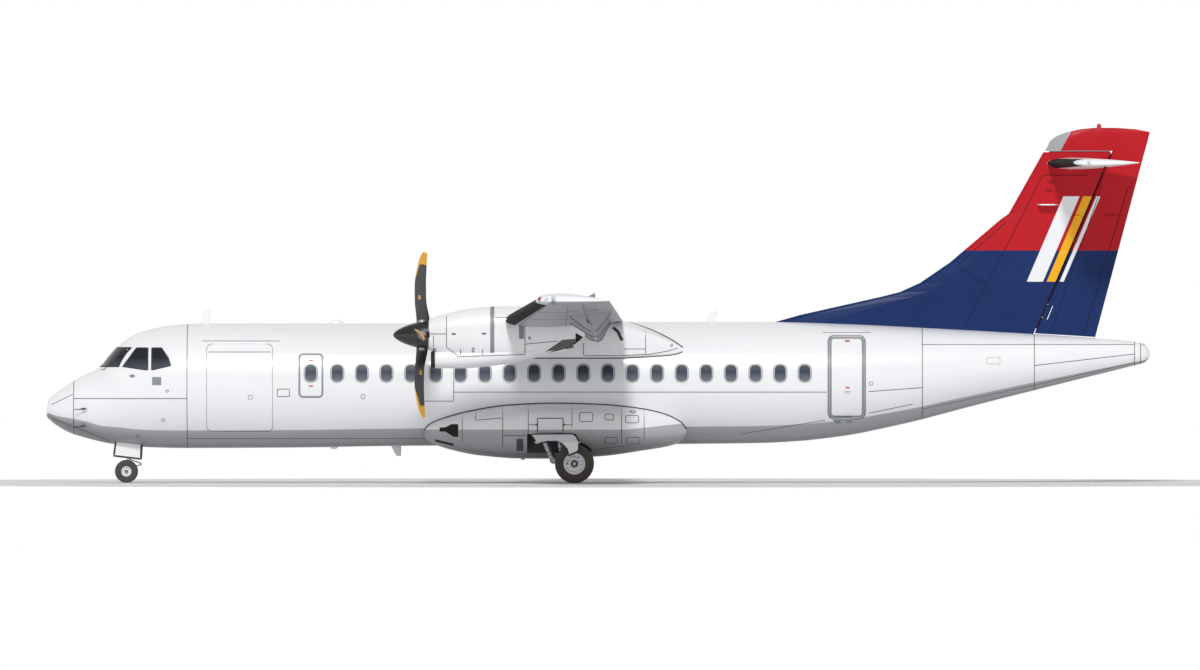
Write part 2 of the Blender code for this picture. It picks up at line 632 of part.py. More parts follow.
def rudder_nose(z):
    (x0, z0), (x1, z1) = RUDDER_NOSE
    return blend(x0, x1, (z - z0) / (z1 - z0))


def rudder_te(z):
    (x0, z0), (x1, z1) = RUDDER_TE
    return blend(x0, x1, (z - z0) / (z1 - z0))


def empennage():
    """Fin with its dorsal fillet, rudder with its horn, tailplane and elevators."""
    gap = 0.022
    leading = [(3.30, 3.6), (3.957, 4.36), (4.13, 4.97), (4.573, 6.94), (4.696, 7.43), (4.917, 7.92),
               (5.422, 8.66), (6.467, 9.89), (6.627, 10.11), (FIN_TOP_Z, 10.96)]
    half_at = smooth_line([(3.3, 0.15), (4.4, 0.13), (4.9, 0.155), (6.0, 0.15), (7.0, 0.13), (8.75, 0.085)])
    rings = []
    for z, le in leading:
        foil = fin_foil(le, rudder_te(z), half_at(z))
        rings.append(foil_ring(foil, le, rudder_nose(z) - gap, lambda x, t, z=z: (x, t, z)))
    fin = loft("fin", rings)
    cut(fin, hull(FORWARD_X, TAIL_X, SEAT))

    rudder_rings = []
    for z, le in ((3.52, 6.0), (5.0, 8.0), (6.6, 10.1), (8.20, 10.98)):
        foil = fin_foil(le, rudder_te(z), half_at(z))
        rudder_rings.append(foil_ring(foil, rudder_nose(z), rudder_te(z), lambda x, t, z=z: (x, t, z)))
    rudder = loft("rudder", rudder_rings)
    cut(rudder, hull(REAR_X, TAIL_X, 0.025))
    horn_rings = []
    for z, le, te, half in ((HORN_Z, 11.00, 13.46, 0.085), (8.27, 11.06, 13.49, 0.083),
                            (8.41, 11.12, 13.525, 0.08), (8.51, 11.25, 13.55, 0.075),
                            (8.572, 11.38, 13.565, 0.068), (8.633, 11.57, 13.58, 0.06),
                            (8.70, 11.86, 13.25, 0.045), (8.735, 12.20, 12.75, 0.02)):
        horn_rings.append(foil_ring(fin_foil(le, te, half), le, te, lambda x, t, z=z: (x, t, z)))
    join(rudder, loft("helper", horn_rings))
    low = Vector((rudder_nose(3.9) + 0.10, 0, 3.9))
    high = Vector((rudder_nose(8.0) + 0.055, 0, 8.0))
    axis = high - low
    forward = Vector((-axis.z, 0, axis.x))
    for share, width in ((0.075, 0.36), (0.5, 0.10), (0.93, 0.12)):
        point = low.lerp(high, share)
        radius = blend(0.10, 0.055, share)
        hinge_tab(fin, rudder, point, axis, radius, width, radius + 0.09, forward)
    set_origin(rudder, low)

    def tail_foil(y):
        return mixed(TAIL_ROOT, TAIL_TIP, abs(y) / TAILPLANE_HALF)

    def tail_rings(ys, x0, x1):
        return [foil_ring(tail_foil(y), tail_foil(y)["le"] if x0 is None else x0, x1,
                          lambda x, t, y=y: (x, y, TAILPLANE_Z + t)) for y in ys]

    back, horn_back = ELEVATOR_NOSE - 0.013, 11.975
    tip = dict(le=11.72, te=13.26, z=TAILPLANE_Z, up=0.05, low=0.05)

    def half_tail(side):
        rings = [foil_ring(tip, 11.72, horn_back, lambda x, t: (x, side * 3.645, TAILPLANE_Z + t))]
        rings += tail_rings([side * 3.55, side * (TAILPLANE_FIXED_Y + 0.005)], None, horn_back)
        return rings + tail_rings([side * TAILPLANE_FIXED_Y], None, back)

    tailplane = loft("tailplane", half_tail(-1) + tail_rings([0], None, back) + half_tail(1)[::-1])
    cut(fin, grown(tailplane, SEAT))
    rings = tail_rings([ELEVATOR_ROOT_Y, TAILPLANE_FIXED_Y + 0.02], ELEVATOR_NOSE, 13.26)
    rings += tail_rings([TAILPLANE_FIXED_Y + 0.025, 3.56], 12.00, 13.26)
    rings.append(foil_ring(tip, 12.04, 13.22, lambda x, t: (x, TAILPLANE_HALF, TAILPLANE_Z + t)))
    elevator = loft("elevator_right", rings)
    left = mirrored(elevator, "elevator_left")
    ring = tail_rings([ELEVATOR_ROOT_Y], ELEVATOR_NOSE, 13.26)[0]
    hinge_x = ELEVATOR_NOSE + (max(p[2] for p in ring) - min(p[2] for p in ring)) / 2
    for side, piece in ((1, elevator), (-1, left)):
        for y in (0.62, 1.95, 3.2):
            radius = hinge_x - ELEVATOR_NOSE
            hinge = (hinge_x, side * y, TAILPLANE_Z)
            hinge_tab(tailplane, piece, hinge, (0, 1, 0), radius, 0.06, radius + 0.06)
        set_origin(piece, (hinge_x, side * ELEVATOR_ROOT_Y, TAILPLANE_Z))


def oval_ring(x, top, low, half, y, sides=24, power=2.0):
    """An oval or rounded-box cross section between two heights."""
    middle, rise = (top + low) / 2, (top - low) / 2
    ring = []
    for i in range(sides):
        angle = 2 * math.pi * i / sides
        s, c = math.sin(angle), math.cos(angle)
        ring.append((x, y + half * math.copysign(abs(s) ** (2 / power), s),
                     middle + rise * math.copysign(abs(c) ** (2 / power), c)))
    return ring


def oval_loft(name, stations, y=0.0, sides=24, power=2.0, look=PAINT):
    return loft(name, [oval_ring(x, top, low, half, y, sides, power) for x, top, low, half in stations], look)


def power_units(centre):
    """Nacelles cut round the wing, with a plain engine block, intake duct and exhaust."""
    shell = [(-4.13, 4.031, 3.268, 0.382), (-3.64, 4.179, 3.14, 0.46),
             (-3.15, 4.277, 3.05, 0.49), (-2.66, 4.326, 2.99, 0.50), (-2.17, 4.339, 2.985, 0.50),
             (-1.67, 4.335, 3.06, 0.49), (-1.18, 4.29, 3.145, 0.46), (-0.81, 4.21, 3.268, 0.40),
             (-0.57, 4.12, 3.391, 0.32), (-0.32, 3.98, 3.588, 0.20)]
    chin = [(-4.07, 3.22, 2.84, 0.31), (-4.0, 3.25, 2.825, 0.34), (-3.4, 3.31, 2.82, 0.385),
            (-2.3, 3.40, 2.915, 0.42), (-1.67, 3.40, 3.04, 0.40), (-1.2, 3.40, 3.17, 0.34)]
    y = -NACELLE_Y
    nacelle = oval_loft("nacelle_left", shell, y, 20, 2.4)
    join(nacelle, oval_loft("helper", chin, y, 16, 2.3))
    cut(nacelle, oval_loft("helper", [(-4.3, 3.185, 2.875, 0.265), (-3.66, 3.12, 2.90, 0.24)], y, 14, 2.3))
    pipe = Vector((-1.5, y - 0.12, 3.33)), Vector((-0.62, y - 0.12, 3.45))
    join(nacelle, rod(*pipe, 0.165, 16, end_radius=0.13))
    cut(nacelle, rod(pipe[0].lerp(pipe[1], 0.6), pipe[0].lerp(pipe[1], 1.1), 0.105, 16))
    cut(nacelle, box((-3.60, y - 0.31, 3.10), (-1.84, y + 0.31, 3.80)))
    cut(nacelle, rod((-4.3, y, PROP_Z), (-3.5, y, PROP_Z), SHAFT_RADIUS + 0.006, 20))
    cut(nacelle, grown(centre, SEAT))
    engine = box((-3.55, y - 0.29, 3.10 + SEAT), (-1.90, y + 0.29, 3.78), "engine_left", LIGHT_METAL)
    mirrored(nacelle, "nacelle_right")
    mirrored(engine, "engine_right")


def blade_ring(reach, forward, half_forward, half_turn, thick):
    """One blade section, six points round, its leading edge ahead and in the turning direction."""
    edge = Vector((-half_forward, 0, half_turn))
    normal = Vector((edge.z, 0, -edge.x)).normalized() * thick
    centre = Vector((forward, -reach, 0))
    ring = []
    for along, off in ((1, 0), (0.55, 0.9), (-0.2, 0.85), (-1, 0.08), (-0.2, -0.7), (0.55, -0.75)):
        ring.append(centre + edge * along + normal * off)
    return ring


def propellers():
    """Hub drum and shaft with four twisted blades, and the pointed spinner ahead of them."""
    sections = [(0.20, -4.305, 0.135, 0.05, 0.055), (0.36, -4.302, 0.140, 0.06, 0.050),
                (0.55, -4.327, 0.128, 0.10, 0.038), (0.85, -4.368, 0.117, 0.135, 0.026),
                (1.22, -4.373, 0.114, 0.150, 0.018), (1.59, -4.343, 0.095, 0.140, 0.012),
                (1.87, -4.300, 0.066, 0.108, 0.008), (2.035, -4.250, 0.026, 0.030, 0.004)]
    profile = [(0.0, 0.0), (0.08, 0.05), (0.135, 0.123), (0.204, 0.258), (0.253, 0.381), (0.285, 0.48)]
    rear = [(0.285, 0.48), (0.328, 0.66), (0.354, 0.86)]
    centre = Vector((SPINNER_TIP_X, -NACELLE_Y, PROP_Z))

    def lathe(name, points, look):
        rings = []
        for radius, x in points:
            if radius == 0:
                rings.append([(centre.x + x, centre.y, centre.z)])
                continue
            rings.append([(centre.x + x, centre.y + radius * math.sin(2 * math.pi * i / 20),
                           centre.z + radius * math.cos(2 * math.pi * i / 20)) for i in range(20)])
        return loft(name, rings, look)

    spinner = lathe("spinner_left", profile, BLACK)
    hub = lathe("propeller_left", [(r, x + (SEAT if i == 0 else 0)) for i, (r, x) in enumerate(rear)], BLACK)
    join(hub, rod((-4.3, centre.y, centre.z), (SHAFT_END_X, centre.y, centre.z), SHAFT_RADIUS, 16))
    for turn in range(4):
        angle = Matrix.Rotation(math.radians(90 * turn), 4, "X")
        rings = [[angle @ point + Vector((0, centre.y, centre.z)) for point in blade_ring(*section)]
                 for section in sections]
        join(hub, loft("helper", rings))
    hub.data.materials.clear()
    hub.data.materials.append(BLACK)
    for piece, name in ((spinner, "spinner_right"), (hub, "propeller_right")):
        bm = bmesh.new()
        bm.from_mesh(piece.data)
        bmesh.ops.translate(bm, vec=(0, 2 * NACELLE_Y, 0), verts=bm.verts)
        other = place(name, bm, BLACK)
        set_origin(other, (PROP_X, NACELLE_Y, PROP_Z))
        set_origin(piece, (PROP_X, -NACELLE_Y, PROP_Z))


def wing_fairing(centre):
    """The saddle between fuselage and wing, which tails off along the cabin roof."""
    stations = [(-3.30, 3.72, 3.30, 0.95), (-2.75, 3.98, 3.13, 1.24), (-2.2, 4.12, 3.07, 1.37),
                (-1.5, 4.15, 3.06, 1.41), (0.1, 4.08, 3.06, 1.41), (0.60, 3.99, 3.06, 1.39),
                (1.03, 3.87, 3.075, 1.36), (1.33, 3.76, 3.09, 1.335),
                (1.65, 3.62, 3.11, 1.31), (1.92, 3.47, 3.15, 1.28), (2.09, 3.34, 3.23, 1.24)]
    fairing = oval_loft("wing_root_fairing", stations, 0.0, 24, 4.0)
    cut(fairing, hull(FORWARD_X, CENTRE_X, SEAT))
    cut(fairing, grown(centre, SEAT))
    return fairing


def gear_fairings():
    """The bulged belly fairing, split on the centre line, with the main wheel wells open below."""
    top = smooth_line([(-4.30, 1.20), (-4.23, 1.373), (-4.09, 1.496), (-3.64, 1.669), (-3.03, 1.816),
                       (-2.17, 1.939), (-1.06, 1.981), (0.05, 1.952), (1.03, 1.853), (1.53, 1.755),
                       (2.02, 1.533), (2.17, 1.32)])
    low = smooth_line([(-4.30, 1.20), (-4.26, 1.103), (-4.09, 0.979), (-3.64, 0.820), (-2.90, 0.672),
                       (-1.92, 0.598), (-1.30, 0.593), (0.05, 0.652), (1.03, 0.783), (1.89, 0.943),
                       (2.15, 1.127), (2.17, 1.18)])
    wide = smooth_line([(-4.30, 1.05), (-4.1, 1.35), (-3.6, 1.62), (-2.9, 1.86), (-2.0, 2.02), (-1.0, 2.07),
                        (0.2, 2.02), (1.2, 1.80), (1.8, 1.52), (2.17, 1.2)])
    xs = [-4.27, -4.15, -3.95, -3.6, -3.1, -2.4, -1.5, -0.5, 0.4, 1.1, 1.6, 1.95, 2.12, 2.17]
    fairing = oval_loft("gear_fairing_left", [(x, top(x), low(x), wide(x)) for x in xs], 0.0, 28, 3.0)
    cut(fairing, box((-6, SEAT / -2, -1), (4, 4, 4)))
    cut(fairing, hull(FORWARD_X, CENTRE_X, SEAT))
    y = -MAIN_LEG_Y
    cut(fairing, box((-1.74, y - 0.6, 0), (-0.02, y + 0.42, 1.215)))
    mirrored(fairing, "gear_fairing_right")
    return fairing


def wheel(name, centre, radius, rim_radius, width, steps):
    """A tyre with a round tread, turned about the axle."""
    half = width / 2
    side = [(rim_radius + SEAT, half * 0.82), (radius * 0.82, half), (radius * 0.955, half * 0.85),
            (radius, half * 0.35)]
    profile = side + [(r, -h) for r, h in reversed(side)] + side[:1]
    return turned(name, profile, steps, centre, RUBBER)


def bore(radius):
    """The profile of a hole through a boss, turned like the axle that runs in it."""
    return [(0.0, 0.2), (radius, 0.2), (radius, -0.2), (0.0, -0.2)]


def rims(name, centre, offset, rim_radius, width, axle_radius, steps):
    """Both rims of a twin wheel and the axle between them, one turned piece."""
    w = width / 2 * 0.82
    side = [(0.0, offset + w * 0.5), (rim_radius * 0.25, offset + w * 0.5),
            (rim_radius * 0.80, offset + w * 0.3), (rim_radius * 0.88, offset + w),
            (rim_radius, offset + w), (rim_radius, offset - w),
            (axle_radius, offset - w * 0.7)]
    profile = side + [(r, -h) for r, h in reversed(side)]
    return turned(name, profile, steps, centre, STEEL)


def nose_gear(cockpit):
    """Fixed leg in its bay, steering fork with axle, twin wheels and the two hanging doors."""
    x, z, radius = NOSE_WHEEL
    rim = 0.125
    cut(cockpit, box((-11.88, -0.30, 0.5), (-11.20, 0.30, 1.60)))
    leg = rod((NOSE_LEG_X, 0, 0.64), (NOSE_LEG_X, 0, 1.60 - SEAT), 0.060, 16, "nose_leg", STEEL)
    join(leg, rod((NOSE_LEG_X, 0, 0.70), (NOSE_LEG_X, 0, 0.80), 0.085, 16))
    join(leg, rod((NOSE_LEG_X, 0, 1.05), (-11.25, 0, 1.63), 0.035, 12))
    cut(leg, box((-13, -1, 1.60 - SEAT), (-11, 1, 2)))
    fork = rod((NOSE_LEG_X, 0, z + 0.06), (NOSE_LEG_X, 0, 0.64 - SEAT), 0.045, 16, "nose_fork", STEEL)
    join(fork, rod((NOSE_LEG_X, 0, z + 0.11), (x, 0, z - 0.01), 0.041, 14))
    join(fork, rod((x, -0.045, z), (x, 0.045, z), 0.067, 18))
    cut(fork, turned("helper", bore(0.0308), 16, (x, 0, z), STEEL))
    rims("nose_rims", (x, 0, z), NOSE_WHEEL_Y, rim, NOSE_TYRE_WIDTH, 0.030, 16)
    for side, word in ((-1, "left"), (1, "right")):
        wheel(f"nose_tyre_{word}", (x, side * NOSE_WHEEL_Y, z), radius, rim, NOSE_TYRE_WIDTH, 16)
        edge = sorted((side * 0.275, side * (0.30 - SEAT)))
        outline = [(-11.87, 1.06), (-11.21, 1.03), (-11.235, 0.573), (-11.925, 0.652)]
        slab(outline, *edge, "Y", f"nose_gear_door_{word}")


def main_gear():
    """Each trailing-arm leg, its twin wheels and the door plate that hangs on it."""
    x, z, radius = MAIN_WHEEL
    y = -MAIN_LEG_Y
    rim = 0.265
    top = 1.215 - SEAT
    leg = rod((-1.36, y, top), (-1.10, y, 0.56), 0.070, 12, "main_leg_left", STEEL)
    join(leg, rod((-1.10, y - 0.07, 0.56), (-1.10, y + 0.07, 0.56), 0.085, 12))
    join(leg, rod((-1.10, y, 0.56), (x, y, z), 0.055, 10))
    join(leg, rod((x, y - 0.075, z), (x, y + 0.075, z), 0.095, 16))
    join(leg, rod((-0.86, y, 0.53), (-0.98, y, top), 0.042, 10))
    cut(leg, turned("helper", bore(0.0610), 20, (x, y, z), STEEL))
    cut(leg, box((-3, y - 1, top), (3, y + 1, 2)))
    for side, word in ((-1, "left"), (1, "right")):
        axle = (x, side * MAIN_LEG_Y, z)
        rims(f"main_rims_{word}", axle, MAIN_WHEEL_OFFSET, rim, MAIN_TYRE_WIDTH, 0.060, 20)
        for place_word, offset in (("inner", -MAIN_WHEEL_OFFSET), ("outer", MAIN_WHEEL_OFFSET)):
            centre = (x, side * (MAIN_LEG_Y + offset), z)
            wheel(f"main_tyre_{word}_{place_word}", centre, radius, rim, MAIN_TYRE_WIDTH, 20)
    outline = [(-1.691, 1.221), (-1.573, 1.068), (-1.536, 0.928), (-1.386, 0.975), (-1.235, 1.011),
               (-1.009, 1.011), (-0.896, 0.955), (-0.783, 0.842), (-0.726, 0.664), (-0.480, 0.768),
               (-0.453, 0.842), (-0.453, 1.031), (-0.519, 1.162), (-0.632, 1.233), (-1.649, 1.233)]
    bend = [(2.100, 1.25), (2.385, 0.99), (2.392, 0.60), (2.412, 0.60), (2.405, 1.00), (2.118, 1.265)]
    plate = slab(outline, -2.5, -2.0, "Y", "main_gear_door_left")
    keep(plate, slab([(-across, z) for across, z in bend], -1.8, -0.3, "X"))
    join(leg, box((-1.36, y - 0.26, 1.05), (-1.27, y, 1.11)))
    cut(leg, slab([(-2.6, 0.5), (-2.3916, 0.60), (-2.3846, 0.99), (-2.0996, 1.25), (-2.0996, 1.5), (-2.6, 1.5)],
                  -1.8, -0.3, "X"))
    mirrored(leg, "main_leg_right")
    mirrored(plate, "main_gear_door_right")


def build():
    body = fuselage()
    doors(body)
    cockpit_windows(body["cockpit_section"])
    nose_gear(body["cockpit_section"])
    centre = wing()
    empennage()
    wing_fairing(centre)
    power_units(centre)
    propellers()
    gear_fairings()
    main_gear()
    for obj in PARTS.objects:
        obj.data.shade_smooth()
        obj.data.set_sharp_from_angle(angle=math.radians(35))


build()
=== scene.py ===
"""Looks for a high-wing turboprop airliner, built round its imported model.

Lengths are in metres. The nose points to -X, the left side faces -Y and the ground is Z = 0.
"""

import math
from bisect import bisect_right

import bmesh
import bpy
from bpy.props import FloatProperty, FloatVectorProperty, IntProperty, PointerProperty
from bpy.types import Operator, Panel, PropertyGroup
from mathutils import Matrix, Vector
from mathutils.bvhtree import BVHTree


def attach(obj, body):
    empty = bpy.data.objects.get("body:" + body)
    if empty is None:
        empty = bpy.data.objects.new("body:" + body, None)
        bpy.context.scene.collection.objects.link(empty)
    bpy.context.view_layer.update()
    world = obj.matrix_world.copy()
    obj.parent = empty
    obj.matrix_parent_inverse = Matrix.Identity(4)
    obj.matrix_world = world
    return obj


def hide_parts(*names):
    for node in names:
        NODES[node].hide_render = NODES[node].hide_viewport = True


bl_info = {
    "name": "Turboprop airliner looks",
    "version": (1, 0, 0),
    "blender": (4, 5, 0),
    "location": "View3D > Sidebar > Airliner",
    "description": "Skins, windows, paint, propellers, gear and stage for a packed turboprop airliner",
    "category": "Object",
}

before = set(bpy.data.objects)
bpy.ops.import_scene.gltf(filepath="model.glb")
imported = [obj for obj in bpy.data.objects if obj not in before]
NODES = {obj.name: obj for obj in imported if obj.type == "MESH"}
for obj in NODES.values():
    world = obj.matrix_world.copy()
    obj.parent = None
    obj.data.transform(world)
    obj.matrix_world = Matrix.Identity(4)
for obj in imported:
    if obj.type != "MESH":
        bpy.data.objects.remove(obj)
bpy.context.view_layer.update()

# The side drawing's grid: units to the metre, and where its middle and its ground line lie.
GRID, GRID_MIDDLE, GRID_GROUND = 40.634, 598.0, 482.8

# Fuselage: crown, keel and half width as (X, value) points, read along the length.
CROWN = [(-13.585, 1.754), (-13.56, 1.95), (-13.49, 2.09), (-13.34, 2.21), (-12.99, 2.456),
         (-12.50, 2.727), (-12.30, 2.813), (-11.96, 3.207), (-11.76, 3.416), (-11.52, 3.588),
         (-11.27, 3.711), (-11.03, 3.773), (-10.53, 3.871), (-9.84, 3.920), (-9.0, 3.925),
         (-5.0, 3.925), (1.03, 3.957), (4.36, 3.957), (6.20, 3.908), (8.42, 3.797), (10.75, 3.662),
         (12.21, 3.564), (13.20, 3.470), (13.45, 3.40), (13.555, 3.28), (13.585, 3.17)]
KEEL = [(-13.585, 1.754), (-13.56, 1.62), (-13.49, 1.546), (-13.34, 1.422), (-12.99, 1.226),
        (-12.50, 1.078), (-12.01, 0.967), (-11.64, 0.930), (-11.03, 0.874), (-10.2, 0.856),
        (-7.33, 0.869), (-5.12, 0.906), (2.02, 0.955), (3.99, 0.979), (4.97, 1.029), (5.46, 1.078),
        (6.20, 1.176), (6.94, 1.324), (7.92, 1.546), (8.66, 1.742), (9.89, 2.062), (11.86, 2.555),
        (13.20, 2.890), (13.45, 2.96), (13.555, 3.07), (13.585, 3.17)]
HALF_WIDTH = [(-13.585, 0.0), (-13.56, 0.17), (-13.49, 0.28), (-13.34, 0.41), (-12.99, 0.62),
              (-12.50, 0.83), (-12.0, 1.00), (-11.5, 1.15), (-11.0, 1.27), (-10.5, 1.36),
              (-10.0, 1.42), (-9.3, 1.45), (4.3, 1.45), (5.4, 1.42), (6.2, 1.37), (7.0, 1.29),
              (7.9, 1.18), (9.0, 1.02), (10.0, 0.85), (11.0, 0.68), (12.0, 0.49), (13.20, 0.27),
              (13.45, 0.21), (13.555, 0.11), (13.585, 0.0)]
HALF_LENGTH, SKIN_SIDES = 13.585, 96

# Wing and tailplane sections as (leading edge, trailing edge, height, thickness above, thickness below).
WING_KINK_Y, WING_FIXED_Y = 4.83, 13.08
PANEL_SPAN = WING_FIXED_Y - WING_KINK_Y
ROOT_FOIL, TIP_FOIL = (-2.25, 0.60, 3.985, 0.295, 0.145), (-1.45, 0.29, 4.445, 0.200, 0.090)
TAIL_ROOT, TAIL_TIP = (11.03, 13.26, 7.858, 0.147, 0.147), (11.66, 13.26, 7.858, 0.085, 0.085)
TAIL_HALF_SPAN = 3.655

# Share of a section's height that is grey below, along the length; that grey is painted shade under the
# fuselage's curve.
BELLY_SHADE_EDGE = [(-13.0, 0.30), (-12.6, 0.26), (-12.0, 0.19), (-11.3, 0.15), (-10.0, 0.142), (13.0, 0.143)]

# Doors as (X low, X high, Z low, Z high) and the hollows behind them.
CARGO_DOOR = (-9.61, -8.00, 1.272, 3.410)
CARGO_BAY = ((-9.78, -0.88, 1.262), (-7.84, 0.88, 3.400))
PASSENGER_DOOR = (5.675, 6.545, 1.600, 3.600)
SERVICE_DOOR = (5.72, 6.42, 1.850, 3.350)
VESTIBULE = ((5.52, -0.78, 1.600), (6.72, 0.78, 3.480))
NOSE_BAY = ((-11.88, -0.30, 0.5), (-11.20, 0.30, 1.60))
DOOR_GAP, DOOR_DEPTH, DOOR_CORNER, OUTSIDE_Y = 0.009, 0.10, 0.13, 1.7

# Door hinges as start, end, radius and, where there are any, the arms of the fixed and moving knuckles.
CARGO_HINGE = ((-9.45, -1.074774, 3.435), (-8.16, -1.074774, 3.435), 0.028)
AIRSTAIR_HINGE = ((5.775, -1.068349, 1.572), (6.245, -1.068349, 1.572), 0.032,
                  ((0, 0.22, -0.09), (0, 0.15, 0.11)))
SERVICE_HINGE = ((5.692, 1.417525, 2.2), (5.692, 1.417525, 2.8), 0.030,
                 ((-0.07, -0.05, 0), (0.07, -0.06, 0)))
# Doors as node, name of the leaf, name of the hinge, opening, side, hinge, its finish and its slot.
DOORS = (("cargo_door", "cargo_door", "cargo", CARGO_DOOR, -1, CARGO_HINGE, "white", "white_paint"),
         ("passenger_door", "airstair", "airstair", PASSENGER_DOOR, -1, AIRSTAIR_HINGE, "trim", None),
         ("service_door", "service_door", "service", SERVICE_DOOR, 1, SERVICE_HINGE, "white", None))
RIB_HEIGHTS, RIB_ENDS, RIB_X = (1.62, 2.02, 2.42, 2.82, 3.16), (-9.50, -8.11), -8.8
FRAME_INSET, SERVICE_INSET = 0.036, 0.02
# What is drawn on the doors, and the service door's handle as (X, Z).
CARGO_LINE, CARGO_HANDLE = ((209.5, 352), (271.5, 352)), (249, 395.2, 253, 399)
AIRSTAIR_FOOT, AIRSTAIR_HANDLE = (834.8, 423, 840.2, 419.8), ((844, 391.5), (849.5, 391.5))
AIRSTAIR_MARKS = ((847, 341, 2.4), (847, 387.5, 2.0))
SERVICE_HANDLE = ((5.98, 2.75), (6.16, 2.75))

# Airstair: its middle, the first tread's height, their number and pitch, depth and thickness of a tread,
# and the cosine and sine of the angle by which the closed treads are tipped.
STAIR_X, TREAD_Z, TREADS, TREAD_PITCH = 6.1, 1.86, 6, 0.27
TREAD_DEPTH, TREAD_THICK, TREAD_COS, TREAD_SIN = 0.20, 0.012, 0.616, 0.788
TREAD_ENDS, RAIL_X = (5.84, 6.38), (5.825, 6.385)

SIDES = ((-1, "left"), (1, "right"))

# Propellers, wheels and the split in the fin's paint.
ENGINE_Y, PROP_Z = 4.05, 3.637
NOSE_WHEEL_AT, MAIN_WHEEL_AT = (-11.604, 0.0, 0.283), (-0.578, 0.0, 0.480)
MAIN_LEG_Y = 2.05
FIN_SPLIT_Z = 5.717


def smooth_line(points):
    """A curve through (place, value) points that never overshoots them."""
    xs = [p[0] for p in points]
    vs = [p[1] for p in points]
    slopes = [(vs[i + 1] - vs[i]) / (xs[i + 1] - xs[i]) for i in range(len(xs) - 1)]
    tangents = [slopes[0]]
    for before, after in zip(slopes, slopes[1:]):
        tangents.append(0.0 if before * after <= 0 else 2 * before * after / (before + after))
    tangents.append(slopes[-1])

    def value(x):
        if x <= xs[0]:
            return vs[0]
        if x >= xs[-1]:
            return vs[-1]
        i = bisect_right(xs, x) - 1
        h = xs[i + 1] - xs[i]
        t = (x - xs[i]) / h
        return (vs[i] * (1 + 2 * t) * (1 - t) ** 2 + vs[i + 1] * t * t * (3 - 2 * t)
                + h * tangents[i] * t * (1 - t) ** 2 - h * tangents[i + 1] * t * t * (1 - t))

    return value


CROWN_AT, KEEL_AT, WIDTH_AT = smooth_line(CROWN), smooth_line(KEEL), smooth_line(HALF_WIDTH)
BELLY_SHADE_AT = smooth_line(BELLY_SHADE_EDGE)


def blend(a, b, t):
    return a + (b - a) * t


def steps(low, high, size):
    """Even places from low to high, no further apart than size."""
    count = max(1, math.ceil((high - low) / size))
    return [blend(low, high, i / count) for i in range(count + 1)]


def circle(count):
    """Even angles round a full turn."""
    return [2 * math.pi * k / count for k in range(count)]


def ellipse(a, b, wide, tall, count=16):
    """Even places on an ellipse round a middle."""
    return [(a + wide * math.cos(t), b + tall * math.sin(t)) for t in circle(count)]


def side(px, py):
    """A place on the side drawing as X and Z."""
    return (px - GRID_MIDDLE) / GRID, (GRID_GROUND - py) / GRID


def places(*drawn):
    return [side(px, py) for px, py in drawn]


def drawn_box(px0, py0, px1, py1):
    """The corners of an upright box on the side drawing."""
    return places((px0, py0), (px1, py0), (px1, py1), (px0, py1))


def section(x):
    """Middle height, half height and half width of the fuselage at a station."""
    top, low = CROWN_AT(x), KEEL_AT(x)
    return (top + low) / 2, (top - low) / 2, WIDTH_AT(x)


def hull_point(x, angle):
    middle, rise, half = section(x)
    return Vector((x, half * math.sin(angle), middle + rise * math.cos(angle)))


def surface_of(point_at, reach=0.006):
    """Turns a two-number description of a shape into a place on it and the way out there."""
    def at(a, b):
        along = point_at(a + reach, b) - point_at(a - reach, b)
        around = point_at(a, b + reach) - point_at(a, b - reach)
        return point_at(a, b), along.cross(around).normalized()
    return at


hull_at = surface_of(hull_point)


def skin(way):
    """The fuselage skin on one side (-1 left, 1 right), by X and height."""
    def at(x, z):
        middle, rise, _ = section(x)
        share = min(1.0, max(-1.0, (z - middle) / rise))
        return hull_at(x, way * math.acos(share))
    return at


def skin_y(x, z):
    middle, rise, half = section(x)
    return half * math.sqrt(max(0.0, 1 - ((z - middle) / rise) ** 2))


def oval(px, py, wide, tall):
    """A small oval drawn round a place on the side drawing."""
    return places(*ellipse(px, py, wide, tall, 12))


def tree_of(pieces):
    """The surfaces of some pieces, ready to be looked at from outside."""
    points, faces = [], []
    for piece in pieces:
        first = len(points)
        points += [piece.matrix_world @ v.co for v in piece.data.vertices]
        faces += [[first + i for i in face.vertices] for face in piece.data.polygons]
    return BVHTree.FromPolygons(points, faces)


def seen_from(pieces, way):
    """What a look from outside meets on some pieces; way is the look's direction."""
    tree = tree_of(pieces)
    way = Vector(way)
    flat = [i for i in range(3) if abs(way[i]) < 0.5]

    def at(a, b):
        start = way * -40.0
        start[flat[0]], start[flat[1]] = a, b
        point, out, _, _ = tree.ray_cast(start, way)
        if point is None:
            raise ValueError(f"nothing lies under {a:.3f}, {b:.3f}")
        return point, out if out.dot(way) < 0 else -out
    return at


def loft(bm, rings, ring_closed=True, caps=True, loop=False):
    """A skin over rings of points; a ring of one point closes to a tip."""
    rows = [[bm.verts.new(point) for point in ring] for ring in rings]
    for first, second in zip(rows, rows[1:] + rows[:1] if loop else rows[1:]):
        count = max(len(first), len(second))
        for i in range(count if ring_closed else count - 1):
            j = (i + 1) % count
            corners = [first[i % len(first)], first[j % len(first)],
                       second[j % len(second)], second[i % len(second)]]
            bm.faces.new(list(dict.fromkeys(corners)))
    if caps and not loop:
        for row in (rows[0], rows[-1]):
            if len(row) > 2:
                bm.faces.new(row)
    return rows


def solid(bm, look):
    """A bmesh becomes a loose object that can be cut or joined."""
    bmesh.ops.recalc_face_normals(bm, faces=bm.faces)
    if bm.calc_volume(signed=True) < 0:
        bmesh.ops.reverse_faces(bm, faces=bm.faces)
    mesh = bpy.data.meshes.new("work")
    bm.to_mesh(mesh)
    bm.free()
    obj = bpy.data.objects.new("work", mesh)
    bpy.context.scene.collection.objects.link(obj)
    mesh.materials.append(LOOKS[look].material)
    return obj


